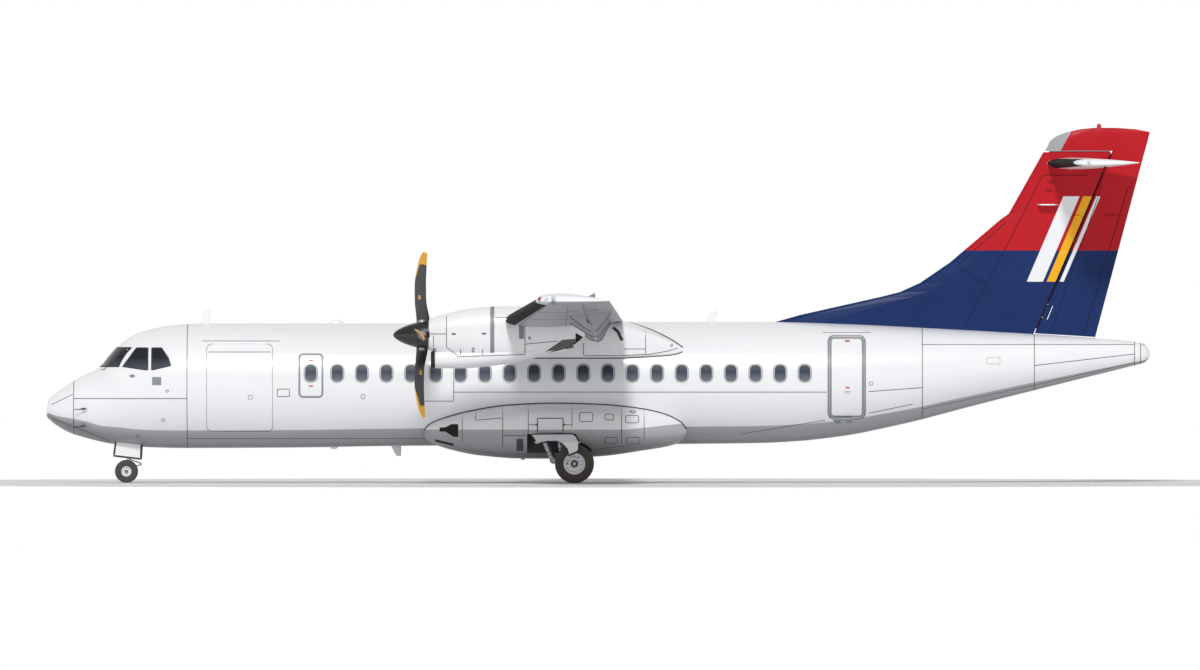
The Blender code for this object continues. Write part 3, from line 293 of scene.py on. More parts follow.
def combine(obj, others, operation):
    """Booleans other solids into obj; the new faces keep the finish of the solid they came from."""
    for other in others:
        step = obj.modifiers.new("step", "BOOLEAN")
        step.operation, step.solver, step.object = operation, "EXACT", other
        step.material_mode = "TRANSFER"
        graph = bpy.context.evaluated_depsgraph_get()
        mesh = bpy.data.meshes.new_from_object(obj.evaluated_get(graph))
        obj.modifiers.clear()
        obj.data = mesh
        bpy.data.objects.remove(other, do_unlink=True)
    return obj


def lofted(rings, look):
    bm = bmesh.new()
    loft(bm, rings)
    return solid(bm, look)


def block(low, high, look):
    """A plain cutting block between two corners."""
    corners = [(low[0], low[1]), (high[0], low[1]), (high[0], high[1]), (low[0], high[1])]
    return lofted([[(x, y, z) for x, y in corners] for z in (low[2], high[2])], look)


def rounded(x0, x1, z0, z1, radius, turns=8):
    """A rectangle with round corners, as outline points."""
    points = []
    for cx, cz, start in ((x1 - radius, z1 - radius, 0), (x0 + radius, z1 - radius, 90),
                          (x0 + radius, z0 + radius, 180), (x1 - radius, z0 + radius, 270)):
        for i in range(turns + 1):
            angle = math.radians(start + 90 * i / turns)
            points.append((cx + radius * math.cos(angle), cz + radius * math.sin(angle)))
    return points


def grown_box(box, by, radius, turns=8):
    """An opening's box with round corners, grown on all sides."""
    x0, x1, z0, z1 = box
    return rounded(x0 - by, x1 + by, z0 - by, z1 + by, radius, turns)


def drawn_rounded(px0, py0, px1, py1, radius, turns=8):
    """A box with round corners on the side drawing, from its top left to its bottom right place."""
    (x0, z1), (x1, z0) = side(px0, py0), side(px1, py1)
    return rounded(x0, x1, z0, z1, radius, turns)


def show(obj, name, body, slot=None, replaced=(), sharp=35.0):
    """A finished object gets its name, smooth shading and its body, and the nodes that it stands for are
    hidden; slot is not used.
    """
    obj.name = obj.data.name = name
    obj.data.shade_smooth()
    obj.data.set_sharp_from_angle(angle=math.radians(sharp))
    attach(obj, body)
    if replaced:
        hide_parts(*replaced)
    return obj


def dress(node, look):
    """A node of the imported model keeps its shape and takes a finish."""
    obj = NODES[node]
    obj.data.materials.clear()
    obj.data.materials.append(LOOKS[look].material)


class Pile:
    """Small shapes that share a body and a finish, gathered into one piece."""

    def __init__(self):
        self.bm = bmesh.new()

    def strip(self, path, surface, width, lift=0.0025, depth=0.004, step=0.06, loop=False):
        """A raised line that follows a surface through its places."""
        path = list(path) + ([path[0]] if loop else [])
        spots = []
        for a, b in zip(path, path[1:]):
            run = math.hypot(b[0] - a[0], b[1] - a[1])
            count = max(1, math.ceil(run / step))
            spots += [(blend(a[0], b[0], i / count), blend(a[1], b[1], i / count)) for i in range(count)]
        if not loop:
            spots.append(path[-1])
        found = [surface(*spot) for spot in spots]
        rings = []
        for i, (point, out) in enumerate(found):
            before = found[i - 1][0] if loop or i else point
            after = found[(i + 1) % len(found)][0] if loop or i < len(found) - 1 else point
            across = out.cross(after - before).normalized() * width / 2
            rings.append([point + across + out * lift, point - across + out * lift,
                          point - across - out * depth, point + across - out * depth])
        loft(self.bm, rings, loop=loop)

    def drawn_lines(self, drawn, surface, width):
        """Raised lines through places on the side drawing."""
        for path in drawn:
            self.strip(places(*path), surface, width)

    def plate(self, outline, surface, lift=0.003, depth=0.004, step=0.08, draw=None):
        """A cover of any outline, bent onto a surface; draw pulls its far face in by a share."""
        flat = bmesh.new()
        flat.faces.new([flat.verts.new((a, b, 0)) for a, b in outline])
        for axis in (0, 1):
            low, high = min(p[axis] for p in outline), max(p[axis] for p in outline)
            for at in steps(low, high, step)[1:-1]:
                spot, way = [0, 0, 0], [0, 0, 0]
                spot[axis], way[axis] = at, 1
                bmesh.ops.bisect_plane(flat, geom=flat.verts[:] + flat.edges[:] + flat.faces[:],
                                       plane_co=spot, plane_no=way)
        flat.verts.index_update()
        middle = [sum(p[k] for p in outline) / len(outline) for k in (0, 1)]
        top, low = [], []
        for vert in flat.verts:
            point, out = surface(vert.co.x, vert.co.y)
            top.append(self.bm.verts.new(point + out * lift))
            far = point - out * depth
            if draw:
                far.x, far.z = blend(far.x, middle[0], draw), blend(far.z, middle[1], draw)
            low.append(self.bm.verts.new(far))
        for face in flat.faces:
            ids = [v.index for v in face.verts]
            self.bm.faces.new([top[i] for i in ids])
            self.bm.faces.new([low[i] for i in reversed(ids)]).material_index = 1 if draw else 0
        for edge in flat.edges:
            if edge.is_boundary:
                a, b = (v.index for v in edge.verts)
                self.bm.faces.new((top[a], top[b], low[b], low[a])).material_index = 1 if draw else 0
        flat.free()

    def tube(self, path, radius, sides=12, end_radius=None):
        """A round bar through points, which may narrow towards its end."""
        path = [Vector(p) for p in path]
        end_radius = radius if end_radius is None else end_radius
        rings, side_way = [], None
        for i, point in enumerate(path):
            along = (path[min(i + 1, len(path) - 1)] - path[max(i - 1, 0)]).normalized()
            if side_way is None:
                side_way = along.orthogonal().normalized()
            side_way = (side_way - along * side_way.dot(along)).normalized()
            other = along.cross(side_way)
            r = blend(radius, end_radius, i / (len(path) - 1))
            rings.append([point + (side_way * math.cos(t) + other * math.sin(t)) * r
                          for t in circle(sides)])
        loft(self.bm, rings)

    def lathe(self, profile, centre, axis="Y", turns=48):
        """A closed profile of (radius, height) turned round an axis."""
        lift = {"X": lambda r, h, c, s: (h, r * c, r * s), "Y": lambda r, h, c, s: (r * c, h, r * s),
                "Z": lambda r, h, c, s: (r * c, r * s, h)}[axis]
        rings = []
        for radius, height in profile:
            count = turns if radius > 1e-6 else 1
            rings.append([Vector(centre) + Vector(lift(radius, height, math.cos(t), math.sin(t)))
                          for t in circle(turns)[:count]])
        loft(self.bm, rings, caps=False)

    def brick(self, low, high, bevel=0.004):
        """A small block with soft edges."""
        made = bmesh.ops.create_cube(self.bm, size=1.0)["verts"]
        size = [high[i] - low[i] for i in range(3)]
        bmesh.ops.scale(self.bm, vec=size, verts=made)
        bmesh.ops.translate(self.bm, vec=[(high[i] + low[i]) / 2 for i in range(3)], verts=made)
        edges = list({edge for vert in made for edge in vert.link_edges})
        bmesh.ops.bevel(self.bm, geom=made + edges, offset=min(bevel, min(size) * 0.3), segments=2,
                        affect="EDGES", profile=0.5)

    def slab(self, outline, low, high, axis="Y", taper=1.0):
        """An outline pushed along an axis; taper shrinks the far face about its middle."""
        lift = {"Y": lambda a, b, c: (a, c, b), "Z": lambda a, b, c: (a, b, c),
                "X": lambda a, b, c: (c, a, b)}[axis]
        middle = [sum(p[i] for p in outline) / len(outline) for i in (0, 1)]
        far = [[blend(middle[i], p[i], taper) for i in (0, 1)] for p in outline]
        loft(self.bm, [[lift(a, b, low) for a, b in outline], [lift(a, b, high) for a, b in far]])

    def piece(self, name, look, body="airframe", slot=None, replaced=()):
        return show(solid(self.bm, look), name, body, slot, replaced)


def tone(red, green, blue):
    """A colour given as it looks on a screen, from 0 to 255, in linear light."""
    return tuple(((v / 255 + 0.055) / 1.055) ** 2.4 if v > 10 else v / 255 / 12.92
                 for v in (red, green, blue))


class Value:
    """A number that changes over a surface; sums with it add Math nodes."""

    def __init__(self, finish, socket):
        self.finish, self.socket = finish, socket

    def sum(self, operation, first, second=0.0, clamp=False):
        made = self.finish.node("ShaderNodeMath", {"operation": operation, "use_clamp": clamp},
                                {0: first, 1: second})
        return Value(self.finish, made.outputs[0])

    def __add__(self, other):
        return self.sum("ADD", self, other)

    def __sub__(self, other):
        return self.sum("SUBTRACT", self, other)

    def __rsub__(self, other):
        return self.sum("SUBTRACT", other, self)

    def __mul__(self, other):
        return self.sum("MULTIPLY", self, other)

    def __truediv__(self, other):
        return self.sum("DIVIDE", self, other)

    def __abs__(self):
        return self.sum("ABSOLUTE", self)

    __radd__, __rmul__ = __add__, __mul__

    def above(self, level, soft=0.004):
        return self.sum("ADD", (self - level) / soft, 0.5, True)

    def below(self, level, soft=0.004):
        return 1.0 - self.above(level, soft)

    def share(self):
        """The same value, kept between 0 and 1."""
        return self.sum("ADD", self, 0.0, True)

    def root(self):
        return self.sum("POWER", self, 0.5)


class Finish:
    """A material whose nodes are made by one method, with places in metres from the model's middle."""

    def __init__(self, name, constants=None):
        self.material = bpy.data.materials.new(name)
        self.material.use_nodes = True
        self.tree = self.material.node_tree
        self.tree.nodes.clear()
        self.shader = self.node("ShaderNodeBsdfPrincipled", {}, constants)
        self.node("ShaderNodeOutputMaterial", {}, {"Surface": self.shader.outputs[0]})
        self.where = self.node("ShaderNodeTexCoord").outputs["Object"]
        apart = self.node("ShaderNodeSeparateXYZ", {}, {0: self.where})
        self.x, self.y, self.z = (Value(self, socket) for socket in apart.outputs)

    def node(self, kind, settings=None, values=None):
        made = self.tree.nodes.new(kind)
        for key, setting in (settings or {}).items():
            if key == "stops":
                ramp = made.color_ramp
                while len(ramp.elements) < len(setting):
                    ramp.elements.new(1.0)
                for element, (at, colour) in zip(ramp.elements, setting):
                    element.position, element.color = at, (*colour[:3], 1.0)
            else:
                setattr(made, key, setting)
        for key, value in (values or {}).items():
            source = value.socket if isinstance(value, Value) else value
            if isinstance(source, bpy.types.NodeSocket):
                self.tree.links.new(source, made.inputs[key])
            else:
                made.inputs[key].default_value = source
        return made

    def noise(self, scale, detail=3.0, stretch=None):
        where = self.where
        if stretch:
            where = self.node("ShaderNodeVectorMath", {"operation": "MULTIPLY"},
                              {0: where, 1: stretch}).outputs[0]
        made = self.node("ShaderNodeTexNoise", {}, {"Vector": where, "Scale": scale, "Detail": detail})
        return Value(self, made.outputs[0])

    def marked(self, name):
        """A number kept on the mesh's own points."""
        return Value(self, self.node("ShaderNodeAttribute", {"attribute_name": name}).outputs["Fac"])

    def mix(self, share, first, second):
        """The first colour where share is 0 and the second one where it is 1."""
        ends = [(*end, 1.0) if isinstance(end, tuple) and len(end) == 3 else end for end in (first, second)]
        made = self.node("ShaderNodeMix", {"data_type": "RGBA"}, {0: share, 6: ends[0], 7: ends[1]})
        return made.outputs[2]

    def shaded(self, colour, share, by):
        """A colour multiplied by another one where share says so."""
        if isinstance(colour, tuple):
            colour = (*colour[:3], 1.0)
        return self.node("ShaderNodeMix", {"data_type": "RGBA", "blend_type": "MULTIPLY"},
                         {0: share, 6: colour, 7: (*by, 1.0)}).outputs[2]

    def done(self, colour, roughness=(0.3, 0.42), grain=40.0, bump=0.0, spread=0.5, metallic=None):
        """Wires the colour with soft patches, the roughness with fine ones, and a bump in metres."""
        patches = self.noise(1.7, 4.0)
        worn = self.shaded(colour, patches * spread, (0.86, 0.86, 0.87))
        self.tree.links.new(worn, self.shader.inputs["Base Color"])
        fine = self.noise(grain, 4.0)
        rough = fine * (roughness[1] - roughness[0]) + roughness[0]
        self.tree.links.new(rough.socket, self.shader.inputs["Roughness"])
        if metallic is not None:
            self.tree.links.new(metallic.socket, self.shader.inputs["Metallic"])
        if bump:
            lump = self.node("ShaderNodeBump", {}, {"Height": fine, "Strength": 0.6, "Distance": bump})
            self.tree.links.new(lump.outputs[0], self.shader.inputs["Normal"])
        return self


LOOKS = {}
MADE = {}


def colour_choice(name, description, default):
    return FloatVectorProperty(name=name, description=description, subtype="COLOR", size=3,
                               min=0.0, max=1.0, default=default)


def length_choice(name, description, default):
    return FloatProperty(name=name, description=description, subtype="DISTANCE", unit="LENGTH",
                         min=0.001, max=2.0, default=default)


def count_choice(name, description, default, low, high):
    return IntProperty(name=name, description=description, default=default, min=low, max=high)


class AirlinerPaint(PropertyGroup):
    """The airliner's colours."""
    hull: colour_choice("Hull", "Main paint of the fuselage, wings and engines", tone(244, 245, 247))
    # Painted shade: the pale grey on the wing's lower surfaces.
    underside_shade: colour_choice("Wing underside", "Grey under the wing and on the flap fairings",
                             tone(164, 166, 170))
    # Painted shade: the grey under the fuselage and the gear fairing.
    belly: colour_choice("Belly", "Grey under the fuselage and the gear fairing", tone(178, 179, 182))
    fin_high: colour_choice("Upper fin", "Fin paint above the split", tone(196, 32, 42))
    fin_low: colour_choice("Lower fin", "Fin paint below the split", tone(30, 54, 108))
    accent: colour_choice("Accent", "Bars on the fin and edges of the propeller blades", tone(244, 178, 40))
    trim: colour_choice("Trim", "Door frames and bands", tone(140, 143, 148))
    lining: colour_choice("Lining", "Cabin and door linings", tone(205, 201, 192))


class AirlinerSizes(PropertyGroup):
    """The sizes of the airliner's small fittings."""
    line: length_choice("Panel line", "Width of the lines between panels", 0.016)
    window_width: length_choice("Window width", "Width of a cabin window's glass", 0.246)
    window_height: length_choice("Window height", "Height of a cabin window's glass", 0.369)
    window_pitch: length_choice("Window pitch", "Distance from one cabin window to the next", 0.6042)
    window_frame: length_choice("Window frame", "Width of the frame round a cabin window", 0.045)
    windows: count_choice("Windows", "Cabin windows on each side, behind the exit's own one", 20, 1, 24)
    rim_holes: count_choice("Rim holes", "Holes in each wheel rim", 12, 3, 16)


def paint():
    return bpy.context.scene.airliner_paint


def sizes():
    return bpy.context.scene.airliner_sizes


def plain(name, colour, roughness=(0.3, 0.42), constants=None, **more):
    """A finish of one main colour with soft patches, fine grain and a slight bump."""
    return Finish(name, constants).done(tuple(colour), roughness, **more)


def hull_paint():
    """White over grey, with the edge between them carried by the skin; the grey is painted shade under the
    fuselage, darker towards the keel.
    """
    look = Finish("Hull paint", {"Coat Weight": 0.25, "Coat Roughness": 0.12})
    depth = look.marked("belly")
    # Painted shade: grey under the fuselage that deepens towards the keel.
    grey = look.mix((depth / -0.14).share(), tuple(paint().belly), tone(136, 137, 141))
    streaks = look.noise(2.2, 5.0, (0.25, 1.0, 2.0))
    white = look.shaded(tuple(paint().hull), streaks * 0.35, (0.93, 0.935, 0.945))
    return look.done(look.mix(depth.below(0.0, 0.004), white, grey), (0.24, 0.36), 30.0, 0.0004, 0.25)


def wing_share(y):
    """How far out along the tapered wing panel a place lies, from 0 to 1."""
    return (y - WING_KINK_Y) / PANEL_SPAN


def wing_paint():
    """White above and pale grey below the chord line, with streaks along the flow; the grey is painted shade
    on the lower surfaces.
    """
    look = Finish("Wing paint", {"Coat Weight": 0.12, "Coat Roughness": 0.25})
    chord_z = wing_share(abs(look.y)).share() * (TIP_FOIL[2] - ROOT_FOIL[2]) + ROOT_FOIL[2]
    streaks = look.noise(2.4, 5.0, (0.35, 2.4, 1.0))
    above = look.shaded(tuple(paint().hull), streaks * 0.5, (0.90, 0.905, 0.915))
    # Painted shade: pale grey on the lower surfaces.
    below = look.shaded(tuple(paint().underside_shade), streaks * 0.6, (0.86, 0.865, 0.875))
    colour = look.mix((look.z - chord_z).above(0.0, 0.02), below, above)
    return look.done(colour, (0.3, 0.44), 30.0, 0.0005, 0.3)


# Bars on the fin as (place along the slant, half width), with their top, foot and lean; then the grey cap.
FIN_BARS = ((8.62, 0.20), (9.02, 0.11), (9.28, 0.05))
BAR_TOP, BAR_FOOT, BAR_LEAN = 7.05, 4.95, 0.43
CAP_FOOT, CAP_EDGE, CAP_LEAN = 8.14, 6.805, 0.56


def fin_paint():
    """Red over navy with slanted bars, and a grey cap on the horn's nose."""
    look = Finish("Fin paint", {"Coat Weight": 0.0, "Specular IOR Level": 0.12})
    low = look.mix(look.noise(1.2, 3.0), tuple(paint().fin_low), tone(24, 44, 92))
    high = look.mix(look.noise(1.2, 3.0), tuple(paint().fin_high), tone(178, 26, 36))
    colour = look.mix(look.z.below(FIN_SPLIT_Z, 0.006), high, low)
    slant, white = look.x - look.z * BAR_LEAN, tone(238, 239, 242)
    for (at, half), shade in zip(FIN_BARS, (white, tuple(paint().accent), white)):
        inside = (abs(slant - at).below(half, 0.008) * look.z.below(BAR_TOP, 0.01)
                  * look.z.above(BAR_FOOT, 0.01))
        colour = look.mix(inside, colour, shade)
    nose = look.z.above(CAP_FOOT, 0.006) * (look.x - look.z * CAP_LEAN).below(CAP_EDGE, 0.008)
    colour = look.mix(nose, colour, tone(168, 170, 174))
    return look.done(colour, (0.3, 0.42), 30.0, 0.0004, 0.15)


# The edge of the gear fairing's painted shade: its height, and where and by how much it rises.
POD_EDGE_Z, POD_RISE_X, POD_RISE = 1.315, 0.7, 0.16


def pod_paint():
    """The gear fairing's white over grey, with an edge that rises towards its tail; the grey is painted
    shade, darker towards the bottom.
    """
    look = Finish("Fairing paint", {"Coat Weight": 0.2, "Coat Roughness": 0.15})
    edge = ((look.x - POD_RISE_X) / 1.5).share() * POD_RISE + POD_EDGE_Z
    # Painted shade: grey that deepens towards the bottom of the fairing.
    grey = look.mix(((1.35 - look.z) / 0.8).share(), tuple(paint().belly), tone(126, 127, 131))
    streaks = look.noise(2.0, 5.0, (0.3, 1.0, 1.5))
    white = look.shaded(tuple(paint().hull), streaks * 0.35, (0.92, 0.925, 0.935))
    colour = look.mix((edge - look.z).above(0.0, 0.012), white, grey)
    return look.done(colour, (0.26, 0.38), 30.0, 0.0004, 0.3)


def glass_with_painted_reflection(name, low, high, dark, light, roughness):
    """Dark glass that lightens downwards between two heights, a painted reflection."""
    look = Finish(name, {"Coat Weight": 0.1, "Coat Roughness": 0.2, "Specular IOR Level": 0.25})
    # Painted reflection: lighter towards the bottom of the pane.
    share = ((look.z - low) / (high - low)).share()
    colour = look.node("ShaderNodeValToRGB", {"stops": [(0.0, light), (0.55, dark), (1.0, dark)]},
                       {0: share}).outputs[0]
    return look.done(colour, roughness, 8.0, 0.0, 0.2)


# Reach along a blade of its amber strip's start, its amber tip and its small mark.
STRIP_FROM, TIP_FROM, MARK_AT = 1.30, 1.73, 0.92


def blade_paint():
    """Dark grey blades with an amber tip, an amber strip that narrows inwards and a small amber mark."""
    look = Finish("Blade paint", {"Coat Weight": 0.1, "Coat Roughness": 0.3})
    lead, reach = look.marked("lead"), look.marked("reach")
    strip = (lead - (2.9 - reach * 1.48)).above(0.0, 0.05) * reach.above(STRIP_FROM, 0.01)
    spot = abs(lead + 0.15).below(0.22, 0.03) * abs(reach - MARK_AT).below(0.05, 0.006)
    edge = (strip + reach.above(TIP_FROM, 0.012) + spot).share()
    grey = look.mix(look.noise(14.0, 4.0), tone(52, 53, 56), tone(70, 71, 74))
    worn = look.shaded(tuple(paint().accent), look.noise(40.0, 5.0) * 0.5, (0.7, 0.62, 0.5))
    return look.done(look.mix(edge, grey, worn), (0.35, 0.5), 50.0, 0.0003, 0.4)


def tyre_paint(name, centre, radius):
    """Worn rubber whose tread is dustier than its walls."""
    look = Finish(name)
    over, up = look.x - centre[0], look.z - centre[2]
    from_axle = (over * over + up * up).root()
    tread = from_axle.above(radius * 0.95, radius * 0.05)
    rubber = look.mix(look.noise(26.0, 5.0), tone(64, 58, 54), tone(84, 77, 72))
    dusty = look.mix(look.noise(60.0, 5.0), tone(78, 72, 67), tone(98, 92, 86))
    return look.done(look.mix(tread * 0.7, rubber, dusty), (0.7, 0.88), 120.0, 0.0008, 0.4)


# Heights between which the two kinds of glass lighten downwards, a painted reflection.
COCKPIT_GLASS_Z, CABIN_GLASS_Z = (2.78, 3.32), (2.52, 2.89)


def mix_finishes():
    """Makes every finish once."""
    colours, glossy, matt = paint(), {"Coat Weight": 0.6}, {"Specular IOR Level": 0.12}
    LOOKS.update({
        "hull": hull_paint(),
        "pod": pod_paint(),
        "white": plain("White paint", colours.hull, (0.26, 0.38), {"Coat Weight": 0.25}, spread=0.3,
                       bump=0.0004),
        "wing": wing_paint(),
        "boot": plain("De-icing boot", tone(22, 22, 24), (0.62, 0.8), matt, bump=0.0012, grain=22.0),
        "fin": fin_paint(),
        "fin_dark": plain("Fin seal", tone(40, 18, 24), (0.5, 0.7), {"Specular IOR Level": 0.1}),
        "trim": plain("Trim paint", colours.trim, (0.35, 0.5), bump=0.0003),
        "pale": plain("Pale trim", tone(188, 190, 193), (0.35, 0.5), bump=0.0003),
        "line": plain("Panel line", tone(62, 64, 69), (0.5, 0.65)),
        "edge": plain("Edge seal", tone(46, 47, 50), (0.5, 0.65), bump=0.0003),
        "seal": plain("Window seal", tone(44, 46, 50), (0.5, 0.65), bump=0.0003),
        "black": plain("Black rubber", tone(26, 26, 28), (0.5, 0.7), bump=0.0005),
        "spinner": plain("Spinner paint", tone(30, 30, 33), (0.22, 0.34), {"Coat Weight": 0.5}, bump=0.0002),
        "blade": blade_paint(),
        "red": plain("Red mark", tone(200, 30, 38), (0.3, 0.45)),
        "alloy": plain("Light alloy", tone(178, 181, 186), (0.3, 0.5), {"Metallic": 0.85}, bump=0.0005),
        "gear": plain("Gear paint", tone(150, 153, 158), (0.35, 0.5), bump=0.0006),
        "chrome": plain("Polished strut", tone(214, 216, 220), (0.08, 0.18), {"Metallic": 1.0}),
        # Near-white rim paint: the rims' own light colour, made lighter still as painted light against the
        # wing's shadow.
        "rim": plain("Rim paint", tone(236, 237, 239), (0.32, 0.46), bump=0.0005),
        "hot_metal": plain("Burnt metal", tone(104, 102, 102), (0.45, 0.7), {"Metallic": 0.4}, bump=0.001,
                           spread=0.9),
        # Near black: painted shade inside the intake, in the exhaust pipe's mouth and on the fairing's
        # inlets, and the dark shape round the exhaust.
        "near_black": plain("Duct black", tone(20, 20, 22), (0.7, 0.9), bump=0.0008),
        "lining": plain("Cabin lining", colours.lining, (0.55, 0.7), bump=0.0008),
        # Dark grey that stands for the shade inside the gear bays and wells: painted shade.
        "bay": plain("Bay paint", tone(58, 59, 62), (0.6, 0.8), bump=0.0012),
        "step": plain("Step tread", tone(58, 60, 64), (0.7, 0.9), bump=0.002, grain=90.0),
        "nose_tyre": tyre_paint("Nose tyre", NOSE_WHEEL_AT, NOSE_WHEEL_AT[2]),
        "main_tyre": tyre_paint("Main tyre", MAIN_WHEEL_AT, MAIN_WHEEL_AT[2]),
        "cockpit": glass_with_painted_reflection("Cockpit glass", *COCKPIT_GLASS_Z, tone(34, 37, 43), tone(78, 84, 94),
                              (0.2, 0.28)),
        "cabin": glass_with_painted_reflection("Cabin glass", *CABIN_GLASS_Z, tone(56, 64, 76), tone(112, 122, 136),
                            (0.3, 0.4)),
        "red_lens": plain("Red lens", tone(190, 24, 26), (0.08, 0.16), glossy),
        "green_lens": plain("Green lens", tone(20, 130, 70), (0.08, 0.16), glossy),
        "clear_lens": plain("Clear lens", tone(196, 204, 212), (0.05, 0.12), glossy),
    })


class AIRLINER_OT_finishes(Operator):
    """Mix the paints, metals, glass and rubber that the other steps use"""
    bl_idname = "airliner.finishes"
    bl_label = "Finishes"

    def execute(self, context):
        mix_finishes()
        for node in ("engine_left", "engine_right"):
            dress(node, "alloy")
        return {"FINISHED"}


def hull_rings(xs):
    rings = []
    for x in xs:
        if CROWN_AT(x) - KEEL_AT(x) < 1e-6:
            rings.append([(x, 0.0, CROWN_AT(x))])
            continue
        rings.append([hull_point(x, angle) for angle in circle(SKIN_SIDES)])
    return rings


def hole(box, way, reach):
    """The cutter of a door's hole, a gap wider than the door, from reach to outside the skin."""
    outline = grown_box(box, DOOR_GAP, DOOR_CORNER)
    return lofted([[(x, way * y, z) for x, z in outline] for y in (reach, OUTSIDE_Y)], "trim")


def mark(mesh, name, values):
    """Keeps a number on each point of a mesh."""
    mesh.attributes.new(name, "FLOAT", "POINT").data.foreach_set("value", values)


def mark_belly_shade(mesh):
    """Marks each point with how far above the edge of the painted shade under the fuselage it lies, as a
    share of the section.
    """
    depths = []
    for x, _, z in (vert.co for vert in mesh.vertices):
        low = KEEL_AT(x)
        depths.append((z - low) / max(0.01, CROWN_AT(x) - low) - BELLY_SHADE_AT(x))
    mark(mesh, "belly", depths)


# How far from either end the skin's closest stations lie, and the nodes that the skin stands for.
END_STATIONS = (0.0, 0.012, 0.03, 0.055, 0.09, 0.135, 0.19, 0.25, 0.33)
SKIN_NODES = ("radome", "cockpit_section", "forward_fuselage", "centre_fuselage", "rear_fuselage",
              "aft_fuselage", "tail_cone")


class AIRLINER_OT_fuselage(Operator):
    """Build the smooth fuselage skin with its bay, entrance, door holes and nose-gear bay"""
    bl_idname = "airliner.fuselage"
    bl_label = "Fuselage skin"

    def execute(self, context):
        xs = ([-HALF_LENGTH + e for e in END_STATIONS] + steps(-13.17, 13.17, 0.16)
              + [HALF_LENGTH - e for e in reversed(END_STATIONS)])
        skin_piece = lofted(hull_rings(xs), "hull")
        # The nose-gear bay's walls take the dark bay finish, painted shade.
        combine(skin_piece, [block(*CARGO_BAY, "lining"), hole(CARGO_DOOR, -1, 0.86),
                             block(*VESTIBULE, "lining"), hole(PASSENGER_DOOR, -1, 0.76),
                             hole(SERVICE_DOOR, 1, 0.76), block(*NOSE_BAY, "bay")], "DIFFERENCE")
        mark_belly_shade(skin_piece.data)
        MADE["skin"] = show(skin_piece, "fuselage_skin", "airframe", "white_paint", SKIN_NODES)
        return {"FINISHED"}


def knuckles(start, end, radius, arms=None):
    """Three hinge knuckles as fixed and moving piles, with their arms."""
    start, end = Vector(start), Vector(end)
    fixed, moving = Pile(), Pile()
    for i in range(3):
        a, b = start.lerp(end, i / 3 + 0.004), start.lerp(end, (i + 1) / 3 - 0.004)
        pile = moving if i == 1 else fixed
        pile.tube([a, b], radius, 20)
        if arms:
            arm = Vector(arms[1] if i == 1 else arms[0])
            across = (b - a).normalized().cross(arm).normalized() * radius * 0.5
            a, b = a.lerp(b, 0.08), a.lerp(b, 0.92)
            loft(pile.bm, [[a + across, b + across, b - across, a - across],
                           [a + across + arm, b + across + arm, b - across + arm, a - across + arm]])
    return fixed, moving


def door_leaf(box, way):
    """A curved door as a thick plate whose inner face draws in, so that it swings clear of its hole."""
    leaf = Pile()
    leaf.plate(rounded(*box, DOOR_CORNER), skin(way), 0.0, DOOR_DEPTH, 0.08, 0.05)
    obj = solid(leaf.bm, "hull")
    obj.data.materials.append(LOOKS["lining"].material)
    mark_belly_shade(obj.data)
    return obj


